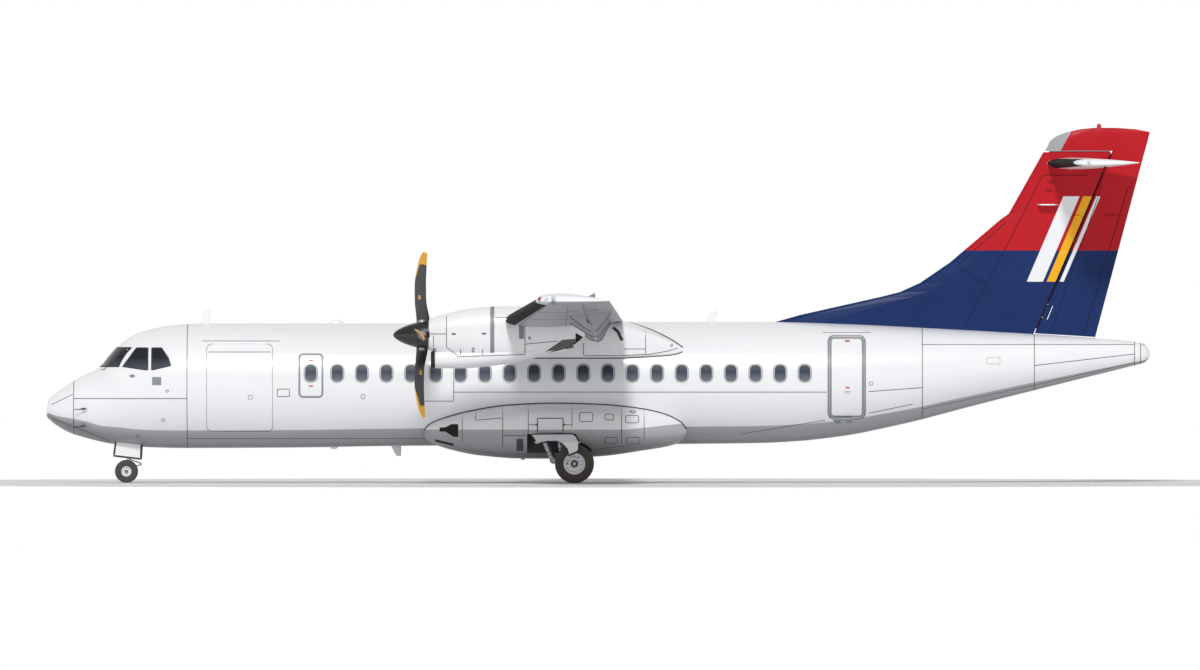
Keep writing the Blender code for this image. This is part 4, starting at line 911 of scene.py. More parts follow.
class AIRLINER_OT_doors(Operator):
    """Build the cargo door, the airstair door with its steps, and the service door"""
    bl_idname = "airliner.doors"
    bl_label = "Doors"

    def execute(self, context):
        for node, leaf, hinge, opening, way, place, look, slot in DOORS:
            show(door_leaf(opening, way), f"{leaf}_leaf", node, "white_paint", (node,))
            fixed, moving = knuckles(*place)
            fixed.piece(f"{hinge}_hinge_fixed", look, "airframe", slot)
            moving.piece(f"{hinge}_hinge_moving", look, node, slot)
        width, left = sizes().line, skin(-1)
        marks, ribs = Pile(), Pile()
        marks.strip(places(*CARGO_LINE), left, width)
        marks.strip(drawn_box(*CARGO_HANDLE), left, width * 0.7, loop=True)
        marks.piece("cargo_door_lines", "line", "cargo_door")
        for z in RIB_HEIGHTS:
            y = -skin_y(RIB_X, z) + DOOR_DEPTH
            ribs.brick((RIB_ENDS[0], y - 0.03, z - 0.02), (RIB_ENDS[1], y + 0.045, z + 0.02))
        ribs.piece("cargo_door_ribs", "alloy", "cargo_door")
        self.airstair()
        frame_line, handle, red = Pile(), Pile(), Pile()
        inside = grown_box(PASSENGER_DOOR, -FRAME_INSET, DOOR_CORNER - FRAME_INSET)
        frame_line.strip(inside, left, 0.055, 0.004, loop=True)
        frame_line.plate(drawn_box(*AIRSTAIR_FOOT), left, 0.012)
        frame_line.piece("airstair_frame", "trim", "passenger_door")
        for px, py, half in AIRSTAIR_MARKS:
            red.plate(drawn_box(px - half, py - 0.7, px + half, py + 0.7), left, 0.006)
        red.piece("airstair_marks", "red", "passenger_door")
        (a, out), (b, _) = (left(x, z) for x, z in places(*AIRSTAIR_HANDLE))
        handle.tube([a + out * 0.002, a + out * 0.03, b + out * 0.03, b + out * 0.002], 0.009)
        handle.piece("airstair_handle", "chrome", "passenger_door")
        frame_line = Pile()
        inside = grown_box(SERVICE_DOOR, -SERVICE_INSET, DOOR_CORNER - SERVICE_INSET)
        frame_line.strip(inside, skin(1), 0.02, 0.003, loop=True)
        frame_line.strip(SERVICE_HANDLE, skin(1), 0.03, 0.006)
        frame_line.piece("service_door_frame", "trim", "service_door")
        return {"FINISHED"}

    def airstair(self):
        """Treads that lie level when the airstair hangs open, between two side rails."""
        treads, rails = Pile(), Pile()

        def inside(z):
            return -skin_y(STAIR_X, z) + DOOR_DEPTH
        run, rise = TREAD_COS * TREAD_DEPTH, TREAD_SIN * TREAD_DEPTH
        down_y, down_z = TREAD_SIN * TREAD_THICK, -TREAD_COS * TREAD_THICK
        for i in range(TREADS):
            z = TREAD_Z + i * TREAD_PITCH
            y = inside(z) - 0.01
            treads.slab([(y, z), (y + run, z + rise), (y + run + down_y, z + rise + down_z),
                         (y + down_y, z + down_z)], *TREAD_ENDS, "X")
        for x in RAIL_X:
            rails.tube([(x, inside(z) + 0.05, z) for z in steps(1.80, 3.30, 0.15)], 0.018)
            rails.tube([(x, inside(2.0), 2.0), (x, -1.02, 2.15), (x, -1.00, 2.9),
                        (x, inside(3.1), 3.05)], 0.012)
        treads.piece("airstair_treads", "step", "passenger_door")
        rails.piece("airstair_rails", "alloy", "passenger_door")


# Cockpit panes: half of the windshield seen from ahead as (Y, Z), then the side panes and a wiper as drawn.
WINDSHIELD = ((0.07, 3.325), (0.72, 3.325), (0.885, 2.86), (0.07, 2.86))
SIDE_PANES = (((137, 348), (148.5, 348), (148.5, 370), (123.5, 366.5)),
              ((152.5, 348), (162, 348), (169, 358), (171.5, 365.5), (152.5, 370)))
WIPER = ((102, 370), (105, 369.5), (112, 362))
PANE_NODES = tuple(f"{name}_{word}" for name in ("windshield", "cockpit_side_window", "cockpit_rear_window")
                   for _, word in SIDES)


class AIRLINER_OT_cockpit_glass(Operator):
    """Lay the cockpit panes, their seals and the wipers on the nose"""
    bl_idname = "airliner.cockpit_glass"
    bl_label = "Cockpit glass"

    def execute(self, context):
        panes, seals = Pile(), Pile()
        ahead = seen_from([MADE["skin"]], (1, 0, 0))
        for way in (-1, 1):
            front = [(way * y, z) for y, z in WINDSHIELD]
            for outline, surface in [(front, ahead)] + [(places(*pane), skin(way)) for pane in SIDE_PANES]:
                panes.plate(outline, surface, 0.004)
                seals.strip(outline, surface, 0.03, 0.007, loop=True)
            lift = Vector((0, way * 0.012, 0.01))
            seals.tube([skin(way)(x, z)[0] + lift for x, z in places(*WIPER)], 0.008)
        panes.piece("cockpit_panes", "cockpit", "airframe", "cockpit_glass", PANE_NODES)
        seals.piece("cockpit_pane_seals", "seal")
        return {"FINISHED"}


WINDOW_CORNER = 0.105
# Middles of the first window of the row and of the one in the exit, as drawn.
FIRST_WINDOW, EXIT_WINDOW = (337.8, 373), (311.3, 373)


class AIRLINER_OT_cabin_windows(Operator):
    """Lay the cabin windows and their frames along both sides"""
    bl_idname = "airliner.cabin_windows"
    bl_label = "Cabin windows"

    def execute(self, context):
        size = sizes()
        panes, frames, seals = Pile(), Pile(), Pile()
        first, middle = side(*FIRST_WINDOW)
        half_x, half_z = size.window_width / 2, size.window_height / 2
        rim = size.window_frame / 2
        rings = ((frames, rim, rim * 2, 0.006), (seals, 0.004, 0.014, 0.009), (seals, rim * 2, 0.007, 0.008))
        exit_x, _ = side(*EXIT_WINDOW)
        for x in [exit_x] + [first + size.window_pitch * n for n in range(size.windows)]:
            window = (x - half_x, x + half_x, middle - half_z, middle + half_z)
            for way in (-1, 1):
                panes.plate(rounded(*window, WINDOW_CORNER, 5), skin(way), 0.004, step=0.07)
                for pile, out, width, lift in rings:
                    outline = grown_box(window, out, WINDOW_CORNER + out, 5)
                    pile.strip(outline, skin(way), width, lift, loop=True)
        panes.piece("cabin_panes", "cabin")
        frames.piece("cabin_window_frames", "pale")
        seals.piece("cabin_window_seals", "line")
        return {"FINISHED"}


# Lines on the fuselage as drawn from the side, on both sides and on the left alone.
SKIN_LINES = [
    [(74.5, 398.5), (187.8, 398.5)], [(188, 438.5), (425, 438.5)], [(454, 380), (454, 401), (425, 401)],
    [(454, 392), (826, 392)], [(868, 391.5), (922, 387.5)], [(740, 434), (825, 420)],
    [(869, 413), (912, 404)], [(922, 344.5), (1134, 344.5)], [(922, 409), (1035, 385), (1134, 362.5)],
    [(1034, 365.5), (1134, 354)], [(52, 404.5), (73, 394.5)], [(52, 418), (110, 441)],
]
LEFT_LINES = [
    [(203, 341), (280, 341)], [(822.5, 332.6), (870.5, 332.6)],
    [(278, 389), (290, 389), (290, 396.5), (278, 396.5), (278, 389)],
]
SKIN_RINGS = [-12.895, -10.095, 7.972, 10.73, 13.20, 13.35]
# Small round ports as drawn, with their radius in metres; the front exit's frame and its marks (from, to,
# heights); then the plate and vent on the nose and the dashed box on the tail.
PORTS = ((363.5, 396.5, 0.055), (870.5, 383.5, 0.045), (164, 420, 0.04), (168, 391, 0.03),
         (138.5, 436, 0.03))
EXIT_FRAME = (300, 354.2, 323, 396.8)
EXIT_MARKS = (309.3, 313.7, (360.5, 386))
NOSE_PLATE, NOSE_VENT, DASHED_BOX = (153, 385, 162, 377), (133, 376), (986.5, 357.5, 999.5, 364)


class AIRLINER_OT_panel_lines(Operator):
    """Draw the lines between fuselage panels, the exit frames, ports, vents and red marks"""
    bl_idname = "airliner.panel_lines"
    bl_label = "Panel lines"

    def execute(self, context):
        width = sizes().line
        lines, frames = Pile(), Pile()
        for way, drawn in ((-1, SKIN_LINES + LEFT_LINES), (1, SKIN_LINES)):
            lines.drawn_lines(drawn, skin(way), width)
            frames.strip(drawn_rounded(*EXIT_FRAME, 0.09), skin(way), 0.045, 0.004, loop=True)
            for px, py, size in PORTS:
                x, z = side(px, py)
                lines.strip(ellipse(x, z, size, size), skin(way), width * 0.8, loop=True)
        for x in SKIN_RINGS:
            lines.strip([(x, a) for a in circle(SKIN_SIDES)], hull_at, width, step=1.0, loop=True)
        frames.strip(grown_box(PASSENGER_DOOR, 0.024, DOOR_CORNER + 0.02), skin(-1), 0.026, 0.004, loop=True)
        lines.piece("fuselage_lines", "line")
        frames.piece("exit_frames", "trim")
        marks, vents = Pile(), Pile()
        for way in (-1, 1):
            px0, px1, rows = EXIT_MARKS
            for py in rows:
                marks.plate(drawn_box(px0, py - 0.6, px1, py + 0.6), skin(way), 0.005)
            vents.plate(drawn_box(*NOSE_PLATE), skin(way), 0.006)
            vents.plate(ellipse(*side(*NOSE_VENT), 0.07, 0.04), skin(way), 0.004)
            corners = drawn_box(*DASHED_BOX)
            for a, b in zip(corners, corners[1:] + corners[:1]):
                count = max(2, round(math.dist(a, b) / 0.09))
                for k in range(count):
                    marks.strip([(blend(a[0], b[0], (k + t) / count), blend(a[1], b[1], (k + t) / count))
                                 for t in (0.2, 0.8)], skin(way), width * 0.8, 0.003)
        marks.piece("red_marks", "red")
        vents.piece("nose_vents", "trim")
        return {"FINISHED"}


def fin_blade(pile, base, top, half, thick):
    """A blade aerial between two drawn edges, thinner at its tip."""
    rings = []
    for t in (0.0, 0.35, 0.7, 0.93, 1.0):
        x0, z = [blend(base[0][k], top[0][k], t) for k in (0, 1)]
        x1 = blend(base[1][0], top[1][0], t)
        middle, reach, wide = (x0 + x1) / 2, (x1 - x0) / 2 * (0.8 if t == 1.0 else 1), thick * (1 - 0.6 * t)
        rings.append([(x, y, z) for x, y in ellipse(middle, half, reach, wide)])
    loft(pile.bm, rings)


def dome(pile, centre, radii, sides=20, rows=6):
    """A low round cap on the skin; a negative height hangs down."""
    rings = []
    for i in range(rows):
        t = math.pi / 2 * i / rows
        ring = ellipse(centre[0], centre[1], radii[0] * math.cos(t), radii[1] * math.cos(t), sides)
        rings.append([(x, y, centre[2] + radii[2] * math.sin(t)) for x, y in ring])
    rings.append([(centre[0], centre[1], centre[2] + radii[2])])
    loft(pile.bm, rings)


# Blade aerials as the drawn ends of base and top, Y and thickness; domes as drawn place, reach and rise.
AERIALS = (((199.5, 324), (208.5, 324), (205.5, 309), (211.5, 309), 0.0, 0.018),
           ((706, 322.5), (714, 322.5), (713, 309), (718.5, 309), 0.0, 0.018),
           ((391, 446), (401, 446), (396, 456), (401, 456), 0.45, 0.014))
TOP_DOMES = ((336.5, 323.3, 0.19, 0.085), (256, 323.5, 0.05, 0.04), (248.5, 323.5, 0.03, 0.03))
LOW_DOMES = ((334, 446.5, 0.10, 0.07), (523, 458, 0.06, 0.05))
PROBES = ((84.5, 409), (83.5, 425))
TAIL_LIGHTS = ((1145, 344.5), (1145, 361))


class AIRLINER_OT_fittings(Operator):
    """Add the aerials, probes, domes and tail lights"""
    bl_idname = "airliner.fittings"
    bl_label = "Aerials and lights"

    def execute(self, context):
        aerials, probes, lights = Pile(), Pile(), Pile()
        for *corners, y, thick in AERIALS:
            ends = places(*corners)
            fin_blade(aerials, ends[:2], ends[2:], y, thick)
        for px, py, reach, rise in TOP_DOMES:
            x, z = side(px, py)
            dome(aerials, (x, 0.0, z - 0.01), (reach, reach * 0.4, rise + 0.01))
        for px, py, reach, drop in LOW_DOMES:
            x, z = side(px, py)
            dome(aerials, (x, 0.0, z), (reach, reach * 0.5, -drop))
        aerials.piece("aerials", "white")
        for way in (-1, 1):
            for x, z in places(*TAIL_LIGHTS):
                dome(lights, (x - 0.03, way * 0.10, z), (0.03, 0.03, 0.03))
            for x, z in places(*PROBES):
                point, out = skin(way)(x, z)
                tip = point + out * 0.075
                probes.tube([point - out * 0.01, tip, tip + Vector((-0.05, 0, 0)),
                             tip + Vector((-0.21, 0, 0))], 0.014, end_radius=0.010)
                dome(probes, tip + Vector((0.02, 0, 0)), (0.085, 0.03, 0.035))
        probes.piece("air_probes", "edge")
        lights.piece("tail_lights", "clear_lens")
        return {"FINISHED"}


def mixed(a, b, t):
    return tuple(blend(first, second, t) for first, second in zip(a, b))


def wing_foil(y):
    return mixed(ROOT_FOIL, TIP_FOIL, min(1.0, max(0.0, wing_share(abs(y)))))


def tail_foil(y):
    return mixed(TAIL_ROOT, TAIL_TIP, abs(y) / TAIL_HALF_SPAN)


def foil_half(foil, x, up):
    """Half thickness of a foil at x, above or below its chord line."""
    s = min(max((x - foil[0]) / (foil[1] - foil[0]), 0.0), 1.0)
    shape = (0.2969 * math.sqrt(s) - 0.126 * s - 0.3516 * s**2 + 0.2843 * s**3 - 0.1036 * s**4) / 0.1
    return foil[3 if up else 4] * shape + 0.004 * s


def edge_sheet(pile, foil_at, low, high, reach, lift=0.004, count=12):
    """A thin sheet wrapped round a leading edge from low to high along Y."""
    rings = []
    for y in steps(low, high, 0.25):
        foil = foil_at(y)
        back = [reach * (1 - math.cos(math.pi / 2 * i / count)) for i in range(count, 0, -1)]
        upper = [(foil[0] + x, foil[2] + foil_half(foil, foil[0] + x, True)) for x in back]
        lower = [(foil[0] + x, foil[2] - foil_half(foil, foil[0] + x, False)) for x in reversed(back)]
        outer = [(x - lift * 0.6, y, z + (lift if i <= count else -lift))
                 for i, (x, z) in enumerate(upper + [(foil[0] - lift, foil[2])] + lower)]
        inner = [(x + 0.012, y, blend(z, foil[2], 0.12)) for x, y, z in reversed(outer)]
        rings.append(outer + inner)
    loft(pile.bm, rings)


# Lines on the wing seen from above, as (X, |Y|).
TOP_LINES = [
    [(-1.93, 5.0), (-1.22, 12.95)], [(-0.80, 1.6), (-0.80, 4.75)], [(-0.80, 4.9), (-0.72, 12.95)],
    [(-1.93, 4.90), (-0.62, 4.90)], [(-1.70, 7.5), (-0.62, 7.5)], [(-1.46, 10.3), (-0.60, 10.3)],
]

WING_PARTS = ("wing", "aileron", "flap_inner", "flap_outer")
WING_NODES = ["wing_centre"] + [f"{name}_{word}" for name in WING_PARTS for _, word in SIDES]
BOOT_SPANS, BOOT_REACH = ((1.50, 3.60), (4.50, 13.02)), 0.22
# Dropped flap hinges as (Y, X, Z), and the reach of half a fairing to either side.
FLAP_HINGES = (("inner", ((2.15, -0.02, 3.49), (4.05, -0.02, 3.49))),
               ("outer", ((6.0, -0.06, 3.60), (8.9, -0.11, 3.74))))
FAIRING_HALF = 0.045
# A small pod's outline as (radius, place along it), where the aileron's pods are, and its fence.
CAPSULE = [(0.0, -0.16), (0.03, -0.145), (0.042, -0.10), (0.042, 0.10), (0.03, 0.145), (0.0, 0.16)]
POD_Y, FENCE_Y = 10.6, (12.19, 12.21)
FENCE = [(-0.25, 4.45), (-0.25, 4.56), (-0.07, 4.66), (-0.07, 4.44)]
# The tip's clear cover as (Y, front, back) stations, the section at its end, and the lamp inside.
TIP_COVER = ((13.06, -1.50, -1.22), (13.20, -1.47, -1.20), (13.34, -1.40, -1.18), (13.42, -1.33, -1.20),
             (13.45, -1.28, -1.22))
TIP_END = (-1.38, 0.29, 4.46, 0.14, 0.06)
LAMP = [(0.0, -0.055), (0.03, -0.045), (0.048, -0.01), (0.05, 0.03), (0.0, 0.05)]
LAMP_AT = (-1.40, 13.35, 4.50)


class AIRLINER_OT_wing(Operator):
    """Paint the wing, flaps and ailerons and add their boots, lights and lines"""
    bl_idname = "airliner.wing"
    bl_label = "Wing"

    def execute(self, context):
        for node in WING_NODES:
            dress(node, "wing")
        boots, lines = Pile(), Pile()
        for way, word, lens in ((-1, "left", "red_lens"), (1, "right", "green_lens")):
            for span in BOOT_SPANS:
                edge_sheet(boots, wing_foil, *sorted(way * y for y in span), BOOT_REACH)
            self.tip(way, word, lens)
            for up in (-1, 1):
                surface = seen_from([NODES["wing_centre"], NODES[f"wing_{word}"]], (0, 0, up))
                for path in TOP_LINES:
                    spots = [(x, way * y) for x, y in path]
                    lines.strip(spots, surface, sizes().line * 0.8, 0.004, step=0.15)
            self.fairing_seals(way, word, lines)
            rod, fence = Pile(), Pile()
            y, z = way * POD_Y, wing_foil(POD_Y)[2] - 0.075
            rod.lathe(CAPSULE, (-0.60, y, z), "X", 16)
            rod.piece(f"aileron_arm_cover_{word}", "trim")
            fence.slab(FENCE, way * FENCE_Y[0], way * FENCE_Y[1])
            fence.lathe([(r, h * 0.7) for r, h in CAPSULE], (-0.12, y, z + 0.02), "X", 16)
            fence.piece(f"aileron_fittings_{word}", "trim", f"aileron_{word}")
        boots.piece("wing_boots", "boot")
        lines.piece("wing_lines", "line")
        return {"FINISHED"}

    def fairing_seals(self, way, word, lines):
        """Seals along the edges of the flap fairings, split at the flap hinge."""
        for flap, rows in FLAP_HINGES:
            moving = Pile()
            for y, drop_x, drop_z in rows:
                top = wing_foil(y)[2] - 0.02
                front = [(-0.785, top - 0.03), (-0.675, top - 0.112), (drop_x - 0.165, drop_z + 0.03),
                         (drop_x - 0.07, drop_z)]
                rear = [(drop_x + 0.04, drop_z - 0.005), (drop_x + 0.11, drop_z + 0.03), (0.27, top - 0.10),
                        (0.31, top - 0.04)]
                for face in (-FAIRING_HALF, FAIRING_HALF):
                    def flat(x, z):
                        return Vector((x, way * y + face, z)), Vector((0, math.copysign(1, face), 0))
                    lines.strip(front, flat, 0.016, 0.002, 0.002)
                    moving.strip(rear, flat, 0.016, 0.002, 0.002)
            moving.piece(f"flap_{flap}_edges_{word}", "line", f"flap_{flap}_{word}")

    def tip(self, way, word, lens):
        """The clear cover in the tip's front corner, with the position light inside."""
        cover, light = Pile(), Pile()
        rings = []
        for y, le, te in TIP_COVER:
            foil = mixed(wing_foil(WING_FIXED_Y), TIP_END, wing_share(y) * 8 - 8 if y > WING_FIXED_Y else 0)
            xs = [blend(le, te, (1 - math.cos(math.pi / 2 * k / 6))) for k in range(1, 7)]
            cut_foil = (le, *foil[1:])
            upper = [(x, way * y, foil[2] + foil_half(cut_foil, x, True) + 0.004) for x in reversed(xs)]
            lower = [(x, way * y, foil[2] - foil_half(cut_foil, x, False) - 0.004) for x in xs]
            rings.append(upper + [(le, way * y, foil[2])] + lower)
        loft(cover.bm, rings)
        cover.piece(f"wing_tip_cover_{word}", "clear_lens")
        light.lathe(LAMP, (LAMP_AT[0], way * LAMP_AT[1], LAMP_AT[2]), "X", 20)
        light.piece(f"wing_light_{word}", lens)


# Lines on the fin and the rudder as drawn.
FIN_LINES = [
    [(1042.9, 175.1), (1087.4, 175.1), (1087.7, 178), (1090.5, 178.6)], [(1042.9, 175.1), (965.5, 325.5)],
    [(986, 284), (957, 265.5)], [(1006, 222.5), (957, 265.5)],
]
RUDDER_LINES = [[(1102.5, 184), (1051.5, 330)], [(1084, 333), (1128.1, 186.8), (1131.5, 187.9)]]

# Hinge covers as (radius, place along them) and where they are; then the seal's low end, the ports and the
# beacon as drawn, the boots, and the outlines of the aerials, the seal on top and the beacon.
HINGE_COVER = [(0.0, -0.235), (0.03, -0.20), (0.048, -0.10), (0.05, 0.0), (0.036, 0.14), (0.0, 0.235)]
HINGE_COVER_Z, FIN_COVER_X, RUDDER_COVER_X = 6.549, 11.79, 12.60
LOW_GAP, FIN_PORTS = ((1055, 306.2), (1049.6, 321)), ((1052, 182), (1048.5, 190.4))
BEACON_AT = (1099, 128.5)
TAIL_BOOT_SPAN, TAIL_BOOT_REACH = (0.22, 3.50), 0.24
FIN_AERIAL = [(10.79, 6.845), (10.83, 6.822), (11.27, 6.822), (11.35, 6.838), (11.27, 6.862),
              (10.83, 6.862)]
TOP_SEAL = [(11.10, 8.12), (12.60, 8.12), (12.60, 8.161), (11.10, 8.161)]
BEACON = [(0.0, -0.03), (0.06, -0.03), (0.06, 0.04), (0.05, 0.09), (0.025, 0.115), (0.0, 0.12)]


def rudder_edge(z):
    """The front edge of the rudder at a height."""
    return blend(10.74, 12.66, (z - 3.674) / 4.492)


class AIRLINER_OT_tail(Operator):
    """Paint the fin, rudder, tailplane and elevators and add their boots, lines, covers and the beacon"""
    bl_idname = "airliner.tail"
    bl_label = "Tail"

    def execute(self, context):
        for node, look in (("fin", "fin"), ("rudder", "fin"), ("tailplane", "white"),
                           ("elevator_left", "white"), ("elevator_right", "white")):
            dress(node, look)
        boots = Pile()
        for way in (-1, 1):
            edge_sheet(boots, tail_foil, *sorted(way * y for y in TAIL_BOOT_SPAN), TAIL_BOOT_REACH)
        boots.piece("tailplane_boots", "boot")
        fittings, lines, on_rudder, cover, fixed, moving = (Pile() for _ in range(6))
        for way in (-1, 1):
            fin_side = seen_from([NODES["fin"]], (0, -way, 0))
            rudder_side = seen_from([NODES["rudder"]], (0, -way, 0))

            def gap_side(x, z):
                point, out = fin_side(rudder_edge(z) - 0.03, z)
                return Vector((x, point.y, z)), out

            def slot_side(x, z):
                point, out = rudder_side(x + 0.07, z)
                return Vector((x, point.y, z)), out
            # Dark seals along the rudder's gap, on the fin and at the rudder's foot; their darkness stands
            # for the shade in the gap.
            gap = [(rudder_edge(z) - 0.010, z) for z in steps(3.80, 8.10, 0.1)]
            cover.strip(gap, gap_side, 0.030, 0.001, 0.006)
            on_rudder.strip(places(*LOW_GAP), slot_side, 0.034, 0.001, 0.004)
            lines.drawn_lines(FIN_LINES, fin_side, 0.014)
            for px, py in FIN_PORTS:
                lines.strip(oval(px, py, 3.0, 1.3), fin_side, 0.012, loop=True)
            on_rudder.drawn_lines(RUDDER_LINES, rudder_side, 0.014)
            for pile, x, share, side_at in ((fixed, FIN_COVER_X, 0.62, fin_side),
                                            (moving, RUDDER_COVER_X, 1.0, rudder_side)):
                point, _ = side_at(x, HINGE_COVER_Z)
                pile.lathe([(r, h * share) for r, h in HINGE_COVER], (x, point.y, HINGE_COVER_Z), "X", 16)
            point, _ = fin_side(11.06, 6.84)
            fittings.slab(FIN_AERIAL, point.y - way * 0.02, point.y + way * 0.24, "Y", 0.7)
        cover.slab(TOP_SEAL, -0.035, 0.035)
        cover.piece("rudder_gap_seal_and_shade", "fin_dark")
        fixed.piece("fin_hinge_cover", "fin")
        moving.piece("rudder_hinge_cover", "fin", "rudder")
        lines.piece("fin_lines", "fin_dark")
        on_rudder.piece("rudder_lines", "fin_dark", "rudder")
        fittings.piece("fin_aerials", "white")
        beacon = Pile()
        x, z = side(*BEACON_AT)
        beacon.lathe(BEACON, (x, 0.0, z), "Z", 20)
        beacon.piece("beacon", "red_lens", "rudder")
        return {"FINISHED"}


def oval_point(top, low, half, y, power, low_power=None):
    """A place on a rounded-box body by X and angle from its crown."""
    def at(x, angle):
        s, c = math.sin(angle), math.cos(angle)
        middle, rise = (top(x) + low(x)) / 2, (top(x) - low(x)) / 2
        bend = 2 / (power if c > 0 or not low_power else low_power)
        return Vector((x, y + half(x) * math.copysign(abs(s) ** bend, s),
                       middle + rise * math.copysign(abs(c) ** bend, c)))
    return at


def meeting(at, x, inner, outer):
    """Where a body's side comes out of the fuselage skin, as (X, Z), or None if it stays inside."""
    def out(angle):
        spot = at(x, angle)
        return abs(spot.y) - skin_y(spot.x, spot.z)
    if out(outer) < 0.002 or out(inner) > 0:
        return None
    for _ in range(24):
        middle = (inner + outer) / 2
        inner, outer = (inner, middle) if out(middle) > 0 else (middle, outer)
    spot = at(x, outer)
    return spot.x, spot.z


def oval_body(stations, y, power, step, sides, look, low_power=None):
    """A smooth body through a few (x, top, low, half width) stations."""
    lines = [smooth_line([(s[0], s[k]) for s in stations]) for k in (1, 2, 3)]
    at = oval_point(*lines, y, power, low_power)
    xs = steps(stations[0][0], stations[-1][0], step)
    return lofted([[at(x, angle) for angle in circle(sides)] for x in xs], look), at


# Bodies of the nacelle as (X, top, bottom, half width), and what is drawn on its sides.
SHELL = [(-4.13, 4.031, 3.268, 0.382), (-3.64, 4.179, 3.14, 0.46), (-3.15, 4.277, 3.05, 0.49),
         (-2.66, 4.326, 2.99, 0.50), (-2.17, 4.339, 2.985, 0.50), (-1.67, 4.335, 3.06, 0.49),
         (-1.18, 4.29, 3.145, 0.46), (-0.81, 4.21, 3.268, 0.40), (-0.57, 4.12, 3.391, 0.32),
         (-0.32, 3.98, 3.588, 0.20)]
CHIN = [(-4.07, 3.22, 2.84, 0.31), (-4.0, 3.25, 2.825, 0.34), (-3.4, 3.31, 2.82, 0.385),
        (-2.3, 3.40, 2.915, 0.42), (-1.67, 3.40, 3.04, 0.40), (-1.2, 3.40, 3.17, 0.34)]
DUCT = [(-4.3, 3.185, 2.875, 0.265), (-3.66, 3.12, 2.90, 0.24)]
NACELLE_LINES = [
    [(447.5, 315), (447.5, 347), (460, 356.5), (525, 354.5)], [(431.5, 334), (447, 334)],
    [(525.5, 323), (525.5, 355)], [(461.5, 349), (461.5, 355)], [(483.5, 349), (483.5, 355)],
    [(525.9, 344.1), (558, 341)], [(495.5, 317.6), (508, 317.6)], [(434.5, 336), (434.5, 347)],
]
NACELLE_MARKS = [(454.7, 334, 2.0, 0.5), (484.8, 333.7, 2.0, 0.5), (474, 350, 1.0, 2.2),
                 (435.6, 349, 1.0, 0.7), (530, 338, 1.1, 1.1)]
NACELLE_BAND = (519.5, 325.5, 524.5, 338.8)
# Exhaust: the heat plate and the dark shape round it as drawn on the left, then the pipe's ends.
HEAT_PLATE = ((546, 351.4), (562.5, 339.8), (575.4, 338.8), (575.4, 341.2), (572, 343.6), (564, 347),
              (555, 349.8))
DARK_PLATE = ((575.7, 333), (583.2, 336.9), (579.5, 340.5), (574.5, 344.2), (568, 347.2),
              (560, 349.9), (549, 352.4), (555, 350.1), (564.2, 347.3), (572.2, 343.9),
              (575.7, 341.4))
PIPE_START, PIPE_END = (-1.5, -0.12, 3.33), (-0.62, -0.12, 3.45)
# The intake's lip as (X, top, bottom, half width), and the cowl's front ring as (X, height, radius).
LIP = (-4.06, 3.215, 2.845, 0.30)
FRONT_RING = (-4.125, 3.65, 0.372)
LIP_BAND_X, BAND_X = -4.03, -2.585


class AIRLINER_OT_engines(Operator):
    """Build the engine nacelles with intakes, exhausts, bands and lines"""
    bl_idname = "airliner.engines"
    bl_label = "Engine nacelles"

    def execute(self, context):
        for way, word in SIDES:
            y = way * ENGINE_Y
            shell, shell_at = oval_body(SHELL, y, 2.4, 0.08, 56, "white")
            chin, chin_at = oval_body(CHIN, y, 2.3, 0.08, 48, "white")
            # The intake's lining takes the near-black finish, painted shade of its depth.
            duct, _ = oval_body(DUCT, y, 2.3, 0.2, 40, "near_black")
            combine(shell, [chin], "UNION")
            combine(shell, [duct], "DIFFERENCE")
            nacelle = show(shell, f"nacelle_shell_{word}", "airframe", "white_paint", (f"nacelle_{word}",))
            lip, band, dark, heat = Pile(), Pile(), Pile(), Pile()
            ring = circle(40)
            lip_at = oval_point(lambda x: LIP[1], lambda x: LIP[2], lambda x: LIP[3], y, 2.3)
            lip.tube([lip_at(LIP[0], a) for a in ring + ring[:2]], 0.028, 10)
            front_x, front_z, radius = FRONT_RING
            lip.tube([(front_x, y + radius * math.sin(a), front_z + radius * math.cos(a))
                      for a in ring + ring[:2]], 0.018, 8)
            lip.strip([(LIP_BAND_X, a) for a in ring], surface_of(chin_at), 0.09, 0.006, step=1.0, loop=True)
            lip.piece(f"nacelle_lips_{word}", "black")
            band.strip([(BAND_X, a) for a in ring], surface_of(shell_at), 0.10, 0.004, step=1.0, loop=True)
            lines = Pile()
            for look_way in (-1, 1):
                outside = seen_from([nacelle], (0, -look_way, 0))
                lines.drawn_lines(NACELLE_LINES, outside, sizes().line)
                for mark_at in NACELLE_MARKS:
                    lines.strip(oval(*mark_at), outside, sizes().line * 1.2, loop=True)
                band.plate(drawn_box(*NACELLE_BAND), outside, 0.006)
                if look_way == -1:
                    heat.plate(places(*HEAT_PLATE), outside, 0.006, step=0.03)
                    dark.plate(places(*DARK_PLATE), outside, 0.006, step=0.03)
            exhaust = Pile()
            start, end = (Vector((x, y + off, z)) for x, off, z in (PIPE_START, PIPE_END))
            along = (end - start).normalized()
            exhaust.tube([start, start.lerp(end, 0.3), start.lerp(end, 0.6), end], 0.165, 28, 0.13)
            exhaust.tube([end - along * 0.004, end + along * 0.008], 0.131, 28, 0.124)
            band.piece(f"nacelle_band_{word}", "trim")
            heat.piece(f"exhaust_shield_{word}", "hot_metal")
            exhaust.piece(f"exhaust_{word}", "hot_metal")
            # A dark disc in the pipe's mouth, painted shade of its hollow.
            dark.tube([end - along * 0.02, end + along * 0.009], 0.110, 28)
            dark.piece(f"nacelle_dark_{word}", "near_black")
            lines.piece(f"nacelle_lines_{word}", "line")
        return {"FINISHED"}


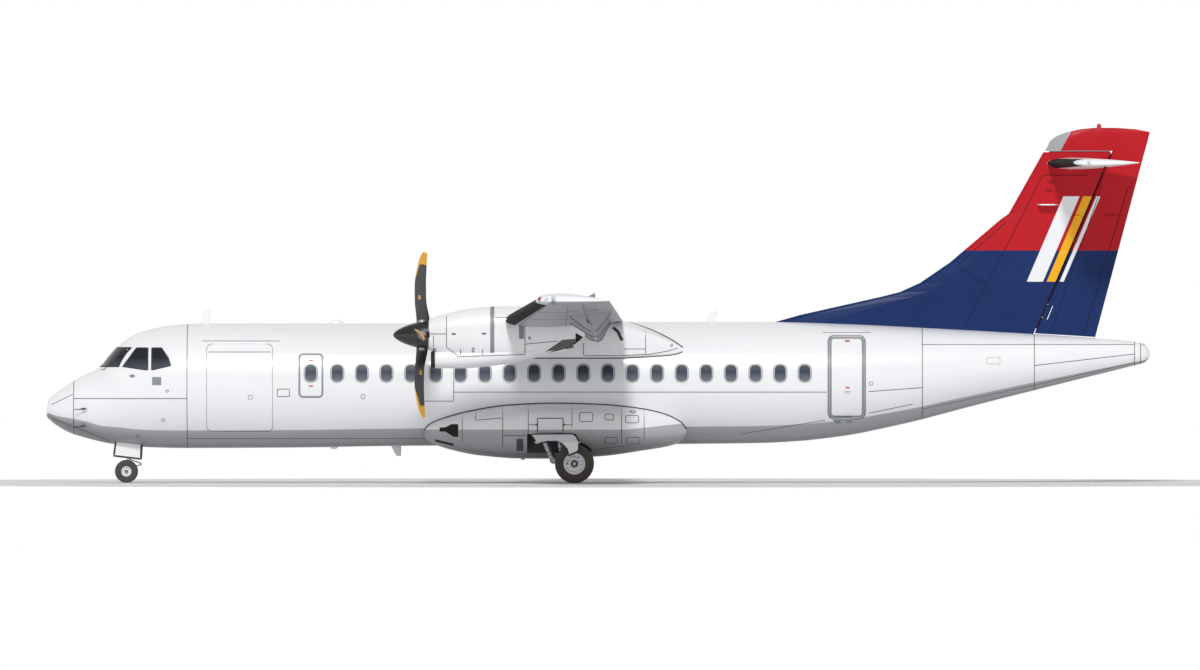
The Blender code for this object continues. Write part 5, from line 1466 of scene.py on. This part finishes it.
# Spinner and hub as (radius, place behind the tip); blades as (reach, X, half size forward, half size
# round the circle, half thickness).
SPINNER = [(0.0, 0.0), (0.08, 0.05), (0.135, 0.123), (0.204, 0.258), (0.253, 0.381), (0.285, 0.48)]
HUB = [(0.285, 0.4815), (0.328, 0.66), (0.354, 0.86)]
BLADE = [(0.20, -4.305, 0.135, 0.05, 0.055), (0.36, -4.302, 0.140, 0.06, 0.050),
         (0.55, -4.327, 0.128, 0.10, 0.038), (0.85, -4.368, 0.117, 0.135, 0.026),
         (1.22, -4.373, 0.114, 0.150, 0.018), (1.59, -4.343, 0.095, 0.140, 0.012),
         (1.87, -4.300, 0.066, 0.108, 0.008), (1.98, -4.272, 0.044, 0.07, 0.006),
         (2.035, -4.250, 0.016, 0.02, 0.004)]
BLADE_STATIONS = steps(0.20, 1.9, 0.075) + [1.94, 1.975, 2.0, 2.02, 2.035]
SHAFT = [(0.0, -4.2), (0.075, -4.2), (0.075, -3.6), (0.0, -3.6)]
COLLAR_X, COLLAR_ENDS = -4.305, (0.30, 0.372)
SPINNER_TIP_X, SPINNER_END, HUB_START, HUB_END = -5.01, 0.48, 0.4815, 0.86
QUARTER_TURNS = [Matrix.Rotation(math.radians(90 * turn), 4, "X") for turn in range(4)]


class AIRLINER_OT_propellers(Operator):
    """Build both propellers, each with four twisted blades, a hub and a spinner"""
    bl_idname = "airliner.propellers"
    bl_label = "Propellers"

    def execute(self, context):
        lines = [smooth_line([(s[0], s[k]) for s in BLADE]) for k in (1, 2, 3, 4)]
        for way, word in SIDES:
            centre = Vector((0.0, way * ENGINE_Y, PROP_Z))
            bm = bmesh.new()
            marks = []
            for spin in QUARTER_TURNS:
                rings = []
                for reach in BLADE_STATIONS:
                    forward, half_forward, half_turn, thick = (line(reach) for line in lines)
                    edge = Vector((-half_forward, 0, half_turn))
                    normal = Vector((edge.z, 0, -edge.x)).normalized() * thick
                    ring = []
                    for a in circle(20):
                        along = math.cos(a)
                        fat = math.sin(a) * (0.85 + 0.25 * along)
                        spot = Vector((forward, -reach, 0)) + edge * along + normal * fat
                        ring.append(spin @ spot + centre)
                        marks.append((along, reach))
                    rings.append(ring)
                loft(bm, rings)
            blades = solid(bm, "blade")
            for k, name in enumerate(("lead", "reach")):
                mark(blades.data, name, [pair[k] for pair in marks])
            show(blades, f"propeller_blades_{word}", f"propeller_{word}", "propeller_paint",
                 (f"propeller_{word}",), 60)
            hub, cone, collars = Pile(), Pile(), Pile()
            nose = smooth_line([(x, r) for r, x in SPINNER])
            xs = [0.0, 0.006, 0.02, 0.04] + steps(0.07, SPINNER_END, 0.04)
            tip = SPINNER_TIP_X
            cone.lathe([(0.0 if x == 0 else nose(x) if x >= 0.05 else 0.08 * math.sqrt(x / 0.05), tip + x)
                        for x in xs] + [(0.0, tip + SPINNER_END)], centre, "X", 56)
            cone.piece(f"spinner_cone_{word}", "spinner", f"propeller_{word}", "propeller_paint",
                       (f"spinner_{word}",))
            drum = smooth_line([(x, r) for r, x in HUB])
            hub.lathe([(0.0, tip + HUB_START)] + [(drum(x), tip + x) for x in steps(HUB_START, HUB_END, 0.05)]
                      + [(0.0, tip + HUB_END)], centre, "X", 56)
            hub.lathe(SHAFT, centre, "X", 24)
            hub.piece(f"propeller_hub_{word}", "spinner", f"propeller_{word}", "propeller_paint")
            for spin in QUARTER_TURNS:
                path = [spin @ Vector((COLLAR_X, -reach, 0)) + centre for reach in COLLAR_ENDS]
                collars.tube(path, 0.115, 24, 0.10)
            collars.piece(f"blade_collars_{word}", "alloy", f"propeller_{word}", "propeller_paint")
        return {"FINISHED"}


# Bodies of the fairings: the saddle as (X, top, bottom, half width), the pod as three (X, value) lines,
# and the outline of a main wheel's well with its reach in Y.
SADDLE = [(-3.30, 3.72, 3.30, 0.95), (-2.75, 3.98, 3.13, 1.24), (-2.2, 4.12, 3.07, 1.37),
          (-1.5, 4.15, 3.06, 1.41), (0.1, 4.08, 3.06, 1.41), (0.60, 3.99, 3.06, 1.39),
          (1.03, 3.87, 3.075, 1.36), (1.33, 3.76, 3.09, 1.335), (1.65, 3.62, 3.11, 1.31),
          (1.92, 3.47, 3.15, 1.28), (2.09, 3.34, 3.23, 1.24)]
POD_TOP = [(-4.30, 1.20), (-4.23, 1.373), (-4.09, 1.496), (-3.64, 1.669), (-3.03, 1.816),
           (-2.17, 1.939), (-1.06, 1.981), (0.05, 1.952), (1.03, 1.853), (1.53, 1.755),
           (2.02, 1.533), (2.17, 1.32)]
POD_LOW = [(-4.30, 1.20), (-4.26, 1.103), (-4.09, 0.979), (-3.64, 0.820), (-2.90, 0.672),
           (-1.92, 0.598), (-1.30, 0.593), (0.05, 0.652), (1.03, 0.783), (1.89, 0.943),
           (2.15, 1.127), (2.17, 1.18)]
POD_HALF = [(-4.30, 1.05), (-4.1, 1.35), (-3.6, 1.62), (-2.9, 1.86), (-2.0, 2.02), (-1.0, 2.07),
            (0.2, 2.02), (1.2, 1.80), (1.8, 1.52), (2.17, 1.2)]
WELL_RADIUS, WELL_Y = 0.54, (1.63, 2.65)
WELL = [(-1.74, -0.5), (-1.74, 1.215), (-0.53, 1.215)] + [
    (MAIN_WHEEL_AT[0] + WELL_RADIUS * math.cos(math.radians(a)),
     MAIN_WHEEL_AT[2] + WELL_RADIUS * math.sin(math.radians(a)))
    for a in range(84, -1, -12)] + [(MAIN_WHEEL_AT[0] + WELL_RADIUS, -0.5)]
# What is drawn on the pod and the saddle: panels, lines, joints as (px, high end, low end), inlets.
POD_PANELS = [(579.5, 412.3, 592.8, 421.3), (605, 413.8, 613.5, 419.7), (625.5, 415.2, 638.6, 422.6),
              (604.7, 437, 617.5, 443), (626, 437, 639.8, 443.3)]
SADDLE_LINES = [
    [(583.5, 343), (583.5, 355)], [(645.5, 330), (645.5, 353.5)], [(624, 349), (645, 349)],
    [(584, 355.6), (620, 355.6), (650, 354.2), (668, 351), (678, 348)],
]
POD_JOINTS = [(462.5, 0.96, 0.25), (503, 0.98, 0.20), (528.5, 0.98, 0.05), (572, 0.98, 0.55),
              (621.5, 0.98, 0.2), (644, 0.97, 0.25)]
POD_STATIONS = [-4.27, -4.24, -4.2, -4.15] + steps(-4.08, 2.0, 0.12) + [2.06, 2.11, 2.15, 2.17]
POD_COVER, COVER_LATCHES, POD_PORT = (537.6, 418, 563.2, 432.7), (536.6, 564.2), (632.5, 411.5, 2.6, 1.1)
SADDLE_FOOT, SADDLE_PORT = ((613, 327.5), (618, 332), (622, 340.5)), (671.5, 345.5, 1, 1)
POD_SLOT = (516.8, 438.6, 523.4, 450.4)
INLETS = (((440, 427.4), (446, 427), (451.5, 424), (458.6, 423.9), (458.6, 436.7), (453.5, 436.4),
           (446, 431.5), (440, 431.3)),
          ((435.3, 439), (454.3, 443.6), (453.7, 445.6), (436, 441.4)))
POD_LINES = [
    [(475.9, 411.7), (475.9, 420), (502.7, 417.8)], [(503.3, 435.3), (528, 435.3)],
    [(529, 424.5), (536, 424.5)], [(564.5, 424.5), (571.7, 424.5)], [(600, 448.5), (643.7, 443.5)],
]


class AIRLINER_OT_fairings(Operator):
    """Build the gear fairing with its wells and the saddle over the wing root"""
    bl_idname = "airliner.fairings"
    bl_label = "Fairings"

    def execute(self, context):
        top, low, half = smooth_line(POD_TOP), smooth_line(POD_LOW), smooth_line(POD_HALF)
        at = oval_point(top, low, half, 0.0, 4.5, 3.0)
        pod = lofted([[at(x, angle) for angle in circle(72)] for x in POD_STATIONS], "pod")
        for way in (-1, 1):
            # The wells' walls take the dark bay finish, painted shade.
            combine(pod, [lofted([[(x, way * y, z) for x, z in WELL] for y in WELL_Y], "bay")], "DIFFERENCE")
        show(pod, "belly_fairing", "airframe", "white_paint", ("gear_fairing_left", "gear_fairing_right"))
        saddle, saddle_at = oval_body(SADDLE, 0.0, 4.0, 0.10, 64, "white", 14.0)
        show(saddle, "wing_saddle", "airframe", "white_paint", ("wing_root_fairing",))
        lines, dark, edges = Pile(), Pile(), Pile()
        width = sizes().line
        for way in (-1, 1):
            outside = seen_from([pod], (0, -way, 0))
            for panel in POD_PANELS:
                lines.strip(drawn_rounded(*panel, 0.05, 3), outside, width, loop=True)
            for px, high, low_end in POD_JOINTS:
                x = side(px, 0)[0]
                z1, z0 = top(x), low(x)
                lines.strip([(x, blend(z0, z1, low_end)), (x, blend(z0, z1, high))], outside, width)
            lines.drawn_lines(POD_LINES, outside, width)
            edges.strip(drawn_box(*POD_COVER), outside, width * 1.5, loop=True)
            for px in COVER_LATCHES:
                edges.plate(drawn_box(px - 1, 423.6, px + 1, 425.2), outside, 0.01)
            lines.strip(oval(*POD_PORT), outside, 0.03, loop=True)
            # Dark plates over the inlets, painted shade of their openings.
            for inlet in INLETS:
                dark.plate(places(*inlet), outside, 0.004)
            # A dark plate over the slot, painted shade of its opening.
            lines.plate(drawn_box(*POD_SLOT), outside, 0.006, step=0.04)
            self.trace(edges, at, 0.001, -4.26, 2.16, way)
            beside = seen_from([saddle], (0, -way, 0))
            lines.drawn_lines(SADDLE_LINES, beside, width)
            edges.strip(places(*SADDLE_FOOT), beside, 0.07, 0.012)
            lines.strip(oval(*SADDLE_PORT), beside, width, loop=True)
            self.trace(edges, saddle_at, 0.001, 0.40, 2.08, way)
            self.trace(edges, saddle_at, math.pi, -3.1, 2.08, way)
        lines.piece("fairing_lines", "line")
        edges.piece("fairing_edges", "edge")
        dark.piece("fairing_inlets", "near_black")
        return {"FINISHED"}

    def trace(self, edges, at, inner, low, high, way):
        """A seal along the places where a fairing meets the fuselage, from low to high along X."""
        rim = [meeting(at, x, inner, math.pi / 2) for x in steps(low, high, 0.06)]
        edges.strip([spot for spot in rim if spot], skin(way), 0.05, 0.004)


def tyre_profile(radius, rim, width, grooves):
    """A round tread with grooves, straight walls and a bead at the rim."""
    half = width / 2
    outer = [(rim, half * 0.80), (rim + 0.012, half * 0.88), (blend(rim, radius, 0.25), half * 0.985),
             (blend(rim, radius, 0.5), half), (blend(rim, radius, 0.72), half * 0.965),
             (blend(rim, radius, 0.88), half * 0.86), (radius * 0.985, half * 0.70)]
    tread = []
    for k in range(grooves):
        at = blend(0.52, -0.52, k / (grooves - 1)) * half
        lift = radius - 0.010 * (abs(at) / half) ** 2
        floor = lift - 0.011
        tread += [(lift, at + 0.008), (floor, at + 0.005), (floor, at - 0.005), (lift, at - 0.008)]
    return outer + tread + [(r, -h) for r, h in reversed(outer)] + outer[:1]


# A rim's profile in shares of its radius and half width, and where its holes lie and their size.
RIM = ((0.0, 0.85), (0.16, 0.85), (0.34, 0.75), (0.42, 0.34), (0.72, 0.28), (0.86, 0.55),
       (0.90, 1.0), (1.0, 1.0), (1.0, -1.0), (0.90, -1.0), (0.86, -0.4), (0.72, -0.1), (0.42, -0.1),
       (0.30, -0.7), (0.0, -0.7))
HOLE_RING, HOLE_RADIUS = 0.66, 0.08


def rim_disc(centre, offset, rim, width, holes):
    """One wheel's rim with a dished web, a bolted hub and round holes."""
    half, y = width / 2 * 0.8, centre[1] + offset
    disc, drill = Pile(), Pile()
    disc.lathe([(rim * r, offset + half * h) for r, h in RIM], centre, "Y", 60)
    for x, z in ellipse(centre[0], centre[2], rim * HOLE_RING, rim * HOLE_RING, holes):
        drill.tube([(x, y - half, z), (x, y + half, z)], rim * HOLE_RADIUS, 12)
    # The holes' walls take the dark seal finish, painted shade inside the holes.
    return combine(solid(disc.bm, "rim"), [solid(drill.bm, "seal")], "DIFFERENCE")


# Wheels as (offset of each wheel, tyre width, rim radius, grooves).
NOSE_WHEEL, MAIN_WHEEL = (0.155, 0.165, 0.125, 3), (0.215, 0.22, 0.265, 4)
HUB_RING = ((0.16, 0.002), (0.30, 0.002), (0.33, 0.014), (0.30, 0.026), (0.18, 0.026), (0.16, 0.002))


class AIRLINER_OT_wheels(Operator):
    """Build grooved tyres and drilled rims for the nose and main wheels"""
    bl_idname = "airliner.wheels"
    bl_label = "Wheels"

    def execute(self, context):
        self.pair("nose", "nose_wheels", NOSE_WHEEL_AT, NOSE_WHEEL, "nose_tyre",
                  ("nose_tyre_left", "nose_tyre_right"), ("nose_rims",))
        for way, word in SIDES:
            centre = (MAIN_WHEEL_AT[0], way * MAIN_LEG_Y, MAIN_WHEEL_AT[2])
            self.pair(f"main_{word}", f"main_wheels_{word}", centre, MAIN_WHEEL, "main_tyre",
                      (f"main_tyre_{word}_inner", f"main_tyre_{word}_outer"), (f"main_rims_{word}",))
        return {"FINISHED"}

    def pair(self, name, body, centre, wheel, rubber, tyres, rims):
        """Twin wheels on one axle."""
        offset, width, rim, grooves = wheel
        tread, axle = Pile(), Pile()
        for way in (-1, 1):
            at = (centre[0], centre[1] + way * offset, centre[2])
            tread.lathe(tyre_profile(centre[2], rim, width, grooves), at, "Y", 72)
            disc = rim_disc(centre, way * offset, rim, width if way > 0 else -width, sizes().rim_holes)
            word = "far" if way > 0 else "near"
            show(disc, f"{name}_rim_{word}", body, "wheel_paint", rims if way > 0 else ())
            bolts, ring = Pile(), Pile()
            face = at[1] + way * width * 0.36
            for x, z in ellipse(at[0], at[2], rim * 0.25, rim * 0.25, 6):
                bolts.tube([(x, face - way * 0.02, z), (x, face + way * 0.006, z)], rim * 0.035, 6)
            bolts.piece(f"{name}_bolts_{word}", "alloy", body)
            face = at[1] + way * width * 0.8 / 2 * 0.85
            ring.lathe([(rim * r, face + way * h) for r, h in HUB_RING], (at[0], 0.0, at[2]), "Y", 32)
            ring.piece(f"{name}_hub_{word}", "seal", body)
        tread.piece(f"{name}_tyres", rubber, body, "tyre_rubber", tyres)
        axle.tube([(centre[0], centre[1] - offset, centre[2]), (centre[0], centre[1] + offset, centre[2])],
                  rim * 0.22, 24)
        axle.piece(f"{name}_axle", "chrome", body)


# Lines a little inside the edges of the gear doors.
MAIN_DOOR = [(-1.66, 1.205), (-1.556, 1.062), (-1.522, 0.945), (-1.383, 0.990), (-1.235, 1.026),
             (-1.005, 1.026), (-0.888, 0.968), (-0.770, 0.850), (-0.716, 0.684), (-0.492, 0.778),
             (-0.468, 0.845), (-0.468, 1.027), (-0.531, 1.152), (-0.638, 1.215)]
NOSE_DOOR = [(-11.86, 1.045), (-11.225, 1.015), (-11.248, 0.588), (-11.91, 0.665)]

# Struts as the (X, Z) of both ends, then sleeves as (share from, share to, radius).
STRUTS = (((-1.36, 1.20), (-1.10, 0.56), ((0.0, 0.12, 0.085), (0.28, 0.62, 0.082), (0.70, 0.76, 0.086),
                                          (0.82, 0.90, 0.09))),
          ((-0.98, 1.20), (-0.86, 0.53), ((0.0, 0.5, 0.062), (0.54, 0.60, 0.056), (0.90, 1.0, 0.06))))
PIVOT, LINK_X = (-1.10, 0.56), -11.245
# A hose as (X, distance outwards, Z) and whether its twin lies beside it along X (1) or Z (0).
HOSE = ((-1.30, 0.095, 1.18, 1), (-1.22, 0.10, 0.90, 1), (-1.09, 0.10, 0.65, 1), (-0.98, 0.07, 0.60, 0),
        (-0.80, 0.06, 0.56, 0))
EDGE_WIDTH, EDGE_LIFT, EDGE_DEPTH = 0.046, 0.004, 0.003


class AIRLINER_OT_legs(Operator):
    """Finish the gear legs and doors and add sleeves, hoses, door edges and the nose torque link"""
    bl_idname = "airliner.legs"
    bl_label = "Landing gear legs"

    def execute(self, context):
        dress("nose_leg", "gear")
        dress("nose_fork", "chrome")
        for way, word in SIDES:
            y = way * MAIN_LEG_Y
            dress(f"main_leg_{word}", "gear")
            sleeves, hoses, edge = Pile(), Pile(), Pile()
            for start, end, spans in STRUTS:
                start, end = Vector((start[0], y, start[1])), Vector((end[0], y, end[1]))
                for a, b, radius in spans:
                    sleeves.tube([start.lerp(end, a), start.lerp(end, b)], radius, 24)
            sleeves.tube([(PIVOT[0], y - 0.095, PIVOT[1]), (PIVOT[0], y + 0.095, PIVOT[1])], 0.05, 20)
            for shift in (0.0, 0.03):
                hoses.tube([(x + shift * along, y + way * off, z + shift * (1 - along))
                            for x, off, z, along in HOSE], 0.009, 8)
            sleeves.piece(f"main_leg_sleeves_{word}", "alloy")
            hoses.piece(f"main_leg_hoses_{word}", "black")
            for name, inset in (("main_gear_door", MAIN_DOOR), ("nose_gear_door", NOSE_DOOR)):
                node = f"{name}_{word}"
                dress(node, "white")
                edge.strip(inset, seen_from([NODES[node]], (0, -way, 0)), EDGE_WIDTH, EDGE_LIFT, EDGE_DEPTH,
                           loop=True)
            edge.piece(f"gear_door_edges_{word}", "edge")
        link = Pile()
        for way in (-1, 1):
            y = way * 0.022
            link.tube([(NOSE_WHEEL_AT[0] + 0.02, y, 0.60), (LINK_X, y, 0.475), (LINK_X, y, 0.445),
                       (NOSE_WHEEL_AT[0] + 0.04, y, 0.36)], 0.014, 10)
        link.tube([(LINK_X, -0.035, 0.46), (LINK_X, 0.035, 0.46)], 0.020, 12)
        link.piece("nose_torque_link", "gear", "nose_steering")
        return {"FINISHED"}


FLOOR_RADIUS = 20.5
# The sky as (share of the way up, brightness), and the suns as name, turn in degrees, power and softness.
SKY = ((0.05, 1.0), (0.25, 0.36))
SUNS = (("key", (50, 0, -5), 1.78, 8), ("fill", (66, 0, 200), 0.30, 60))
CAMERA_AT, CAMERA_LENS = (0.049, -656.3, 3.637), 800.0


class AIRLINER_OT_stage(Operator):
    """Set the pale floor, the soft light and the camera"""
    bl_idname = "airliner.stage"
    bl_label = "Stage and camera"

    def execute(self, context):
        scene = context.scene
        bm = bmesh.new()
        edge = ellipse(0.0, 0.0, FLOOR_RADIUS, FLOOR_RADIUS, 128)
        bm.faces.new([bm.verts.new((x, y, 0.0)) for x, y in edge])
        mesh = bpy.data.meshes.new("stage_floor")
        bm.to_mesh(mesh)
        bm.free()
        floor = bpy.data.objects.new("stage_floor", mesh)
        scene.collection.objects.link(floor)
        mesh.materials.append(plain("Pale floor", tone(236, 236, 237), (0.7, 0.85), spread=0.05).material)
        world = bpy.data.worlds.new("Studio")
        scene.world = world
        world.use_nodes = True
        tree = world.node_tree
        where = tree.nodes.new("ShaderNodeTexCoord")
        apart = tree.nodes.new("ShaderNodeSeparateXYZ")
        ramp = tree.nodes.new("ShaderNodeValToRGB")
        for element, (at, level) in zip(ramp.color_ramp.elements, SKY):
            element.position, element.color = at, (level, level, level, 1.0)
        tree.links.new(where.outputs["Generated"], apart.inputs[0])
        tree.links.new(apart.outputs[2], ramp.inputs[0])
        tree.links.new(ramp.outputs[0], tree.nodes["Background"].inputs[0])
        for name, turn, power, soft in SUNS:
            data = bpy.data.lights.new(name, "SUN")
            data.energy, data.angle = power, math.radians(soft)
            lamp = bpy.data.objects.new(name, data)
            lamp.rotation_euler = [math.radians(a) for a in turn]
            scene.collection.objects.link(lamp)
        data = bpy.data.cameras.new("camera")
        data.lens, data.sensor_width, data.clip_end = CAMERA_LENS, 36.0, 2000.0
        camera = bpy.data.objects.new("camera", data)
        camera.location = CAMERA_AT
        camera.rotation_euler = (math.pi / 2, 0.0, 0.0)
        scene.collection.objects.link(camera)
        scene.camera = camera
        scene.view_settings.view_transform = "Standard"
        return {"FINISHED"}


STEPS = (AIRLINER_OT_finishes, AIRLINER_OT_fuselage, AIRLINER_OT_doors, AIRLINER_OT_cockpit_glass,
         AIRLINER_OT_cabin_windows, AIRLINER_OT_panel_lines, AIRLINER_OT_fittings, AIRLINER_OT_wing,
         AIRLINER_OT_tail, AIRLINER_OT_engines, AIRLINER_OT_propellers, AIRLINER_OT_fairings,
         AIRLINER_OT_wheels, AIRLINER_OT_legs, AIRLINER_OT_stage)


class AIRLINER_PT_panel(Panel):
    """Lists the steps that dress the airliner"""
    bl_idname = "AIRLINER_PT_panel"
    bl_label = "Turboprop airliner"
    bl_space_type = "VIEW_3D"
    bl_region_type = "UI"
    bl_category = "Airliner"

    def draw(self, context):
        for group in (context.scene.airliner_paint, context.scene.airliner_sizes):
            for name in group.__annotations__:
                self.layout.prop(group, name)
        for step in STEPS:
            self.layout.operator(step.bl_idname)


CLASSES = (AirlinerPaint, AirlinerSizes, *STEPS, AIRLINER_PT_panel)


def register():
    for cls in CLASSES:
        bpy.utils.register_class(cls)
    bpy.types.Scene.airliner_paint = PointerProperty(type=AirlinerPaint)
    bpy.types.Scene.airliner_sizes = PointerProperty(type=AirlinerSizes)


def unregister():
    del bpy.types.Scene.airliner_sizes
    del bpy.types.Scene.airliner_paint
    for cls in reversed(CLASSES):
        bpy.utils.unregister_class(cls)


def main():
    register()
    for step in STEPS:
        group, name = step.bl_idname.split(".")
        getattr(getattr(bpy.ops, group), name)()


if __name__ == "__main__":
    main()
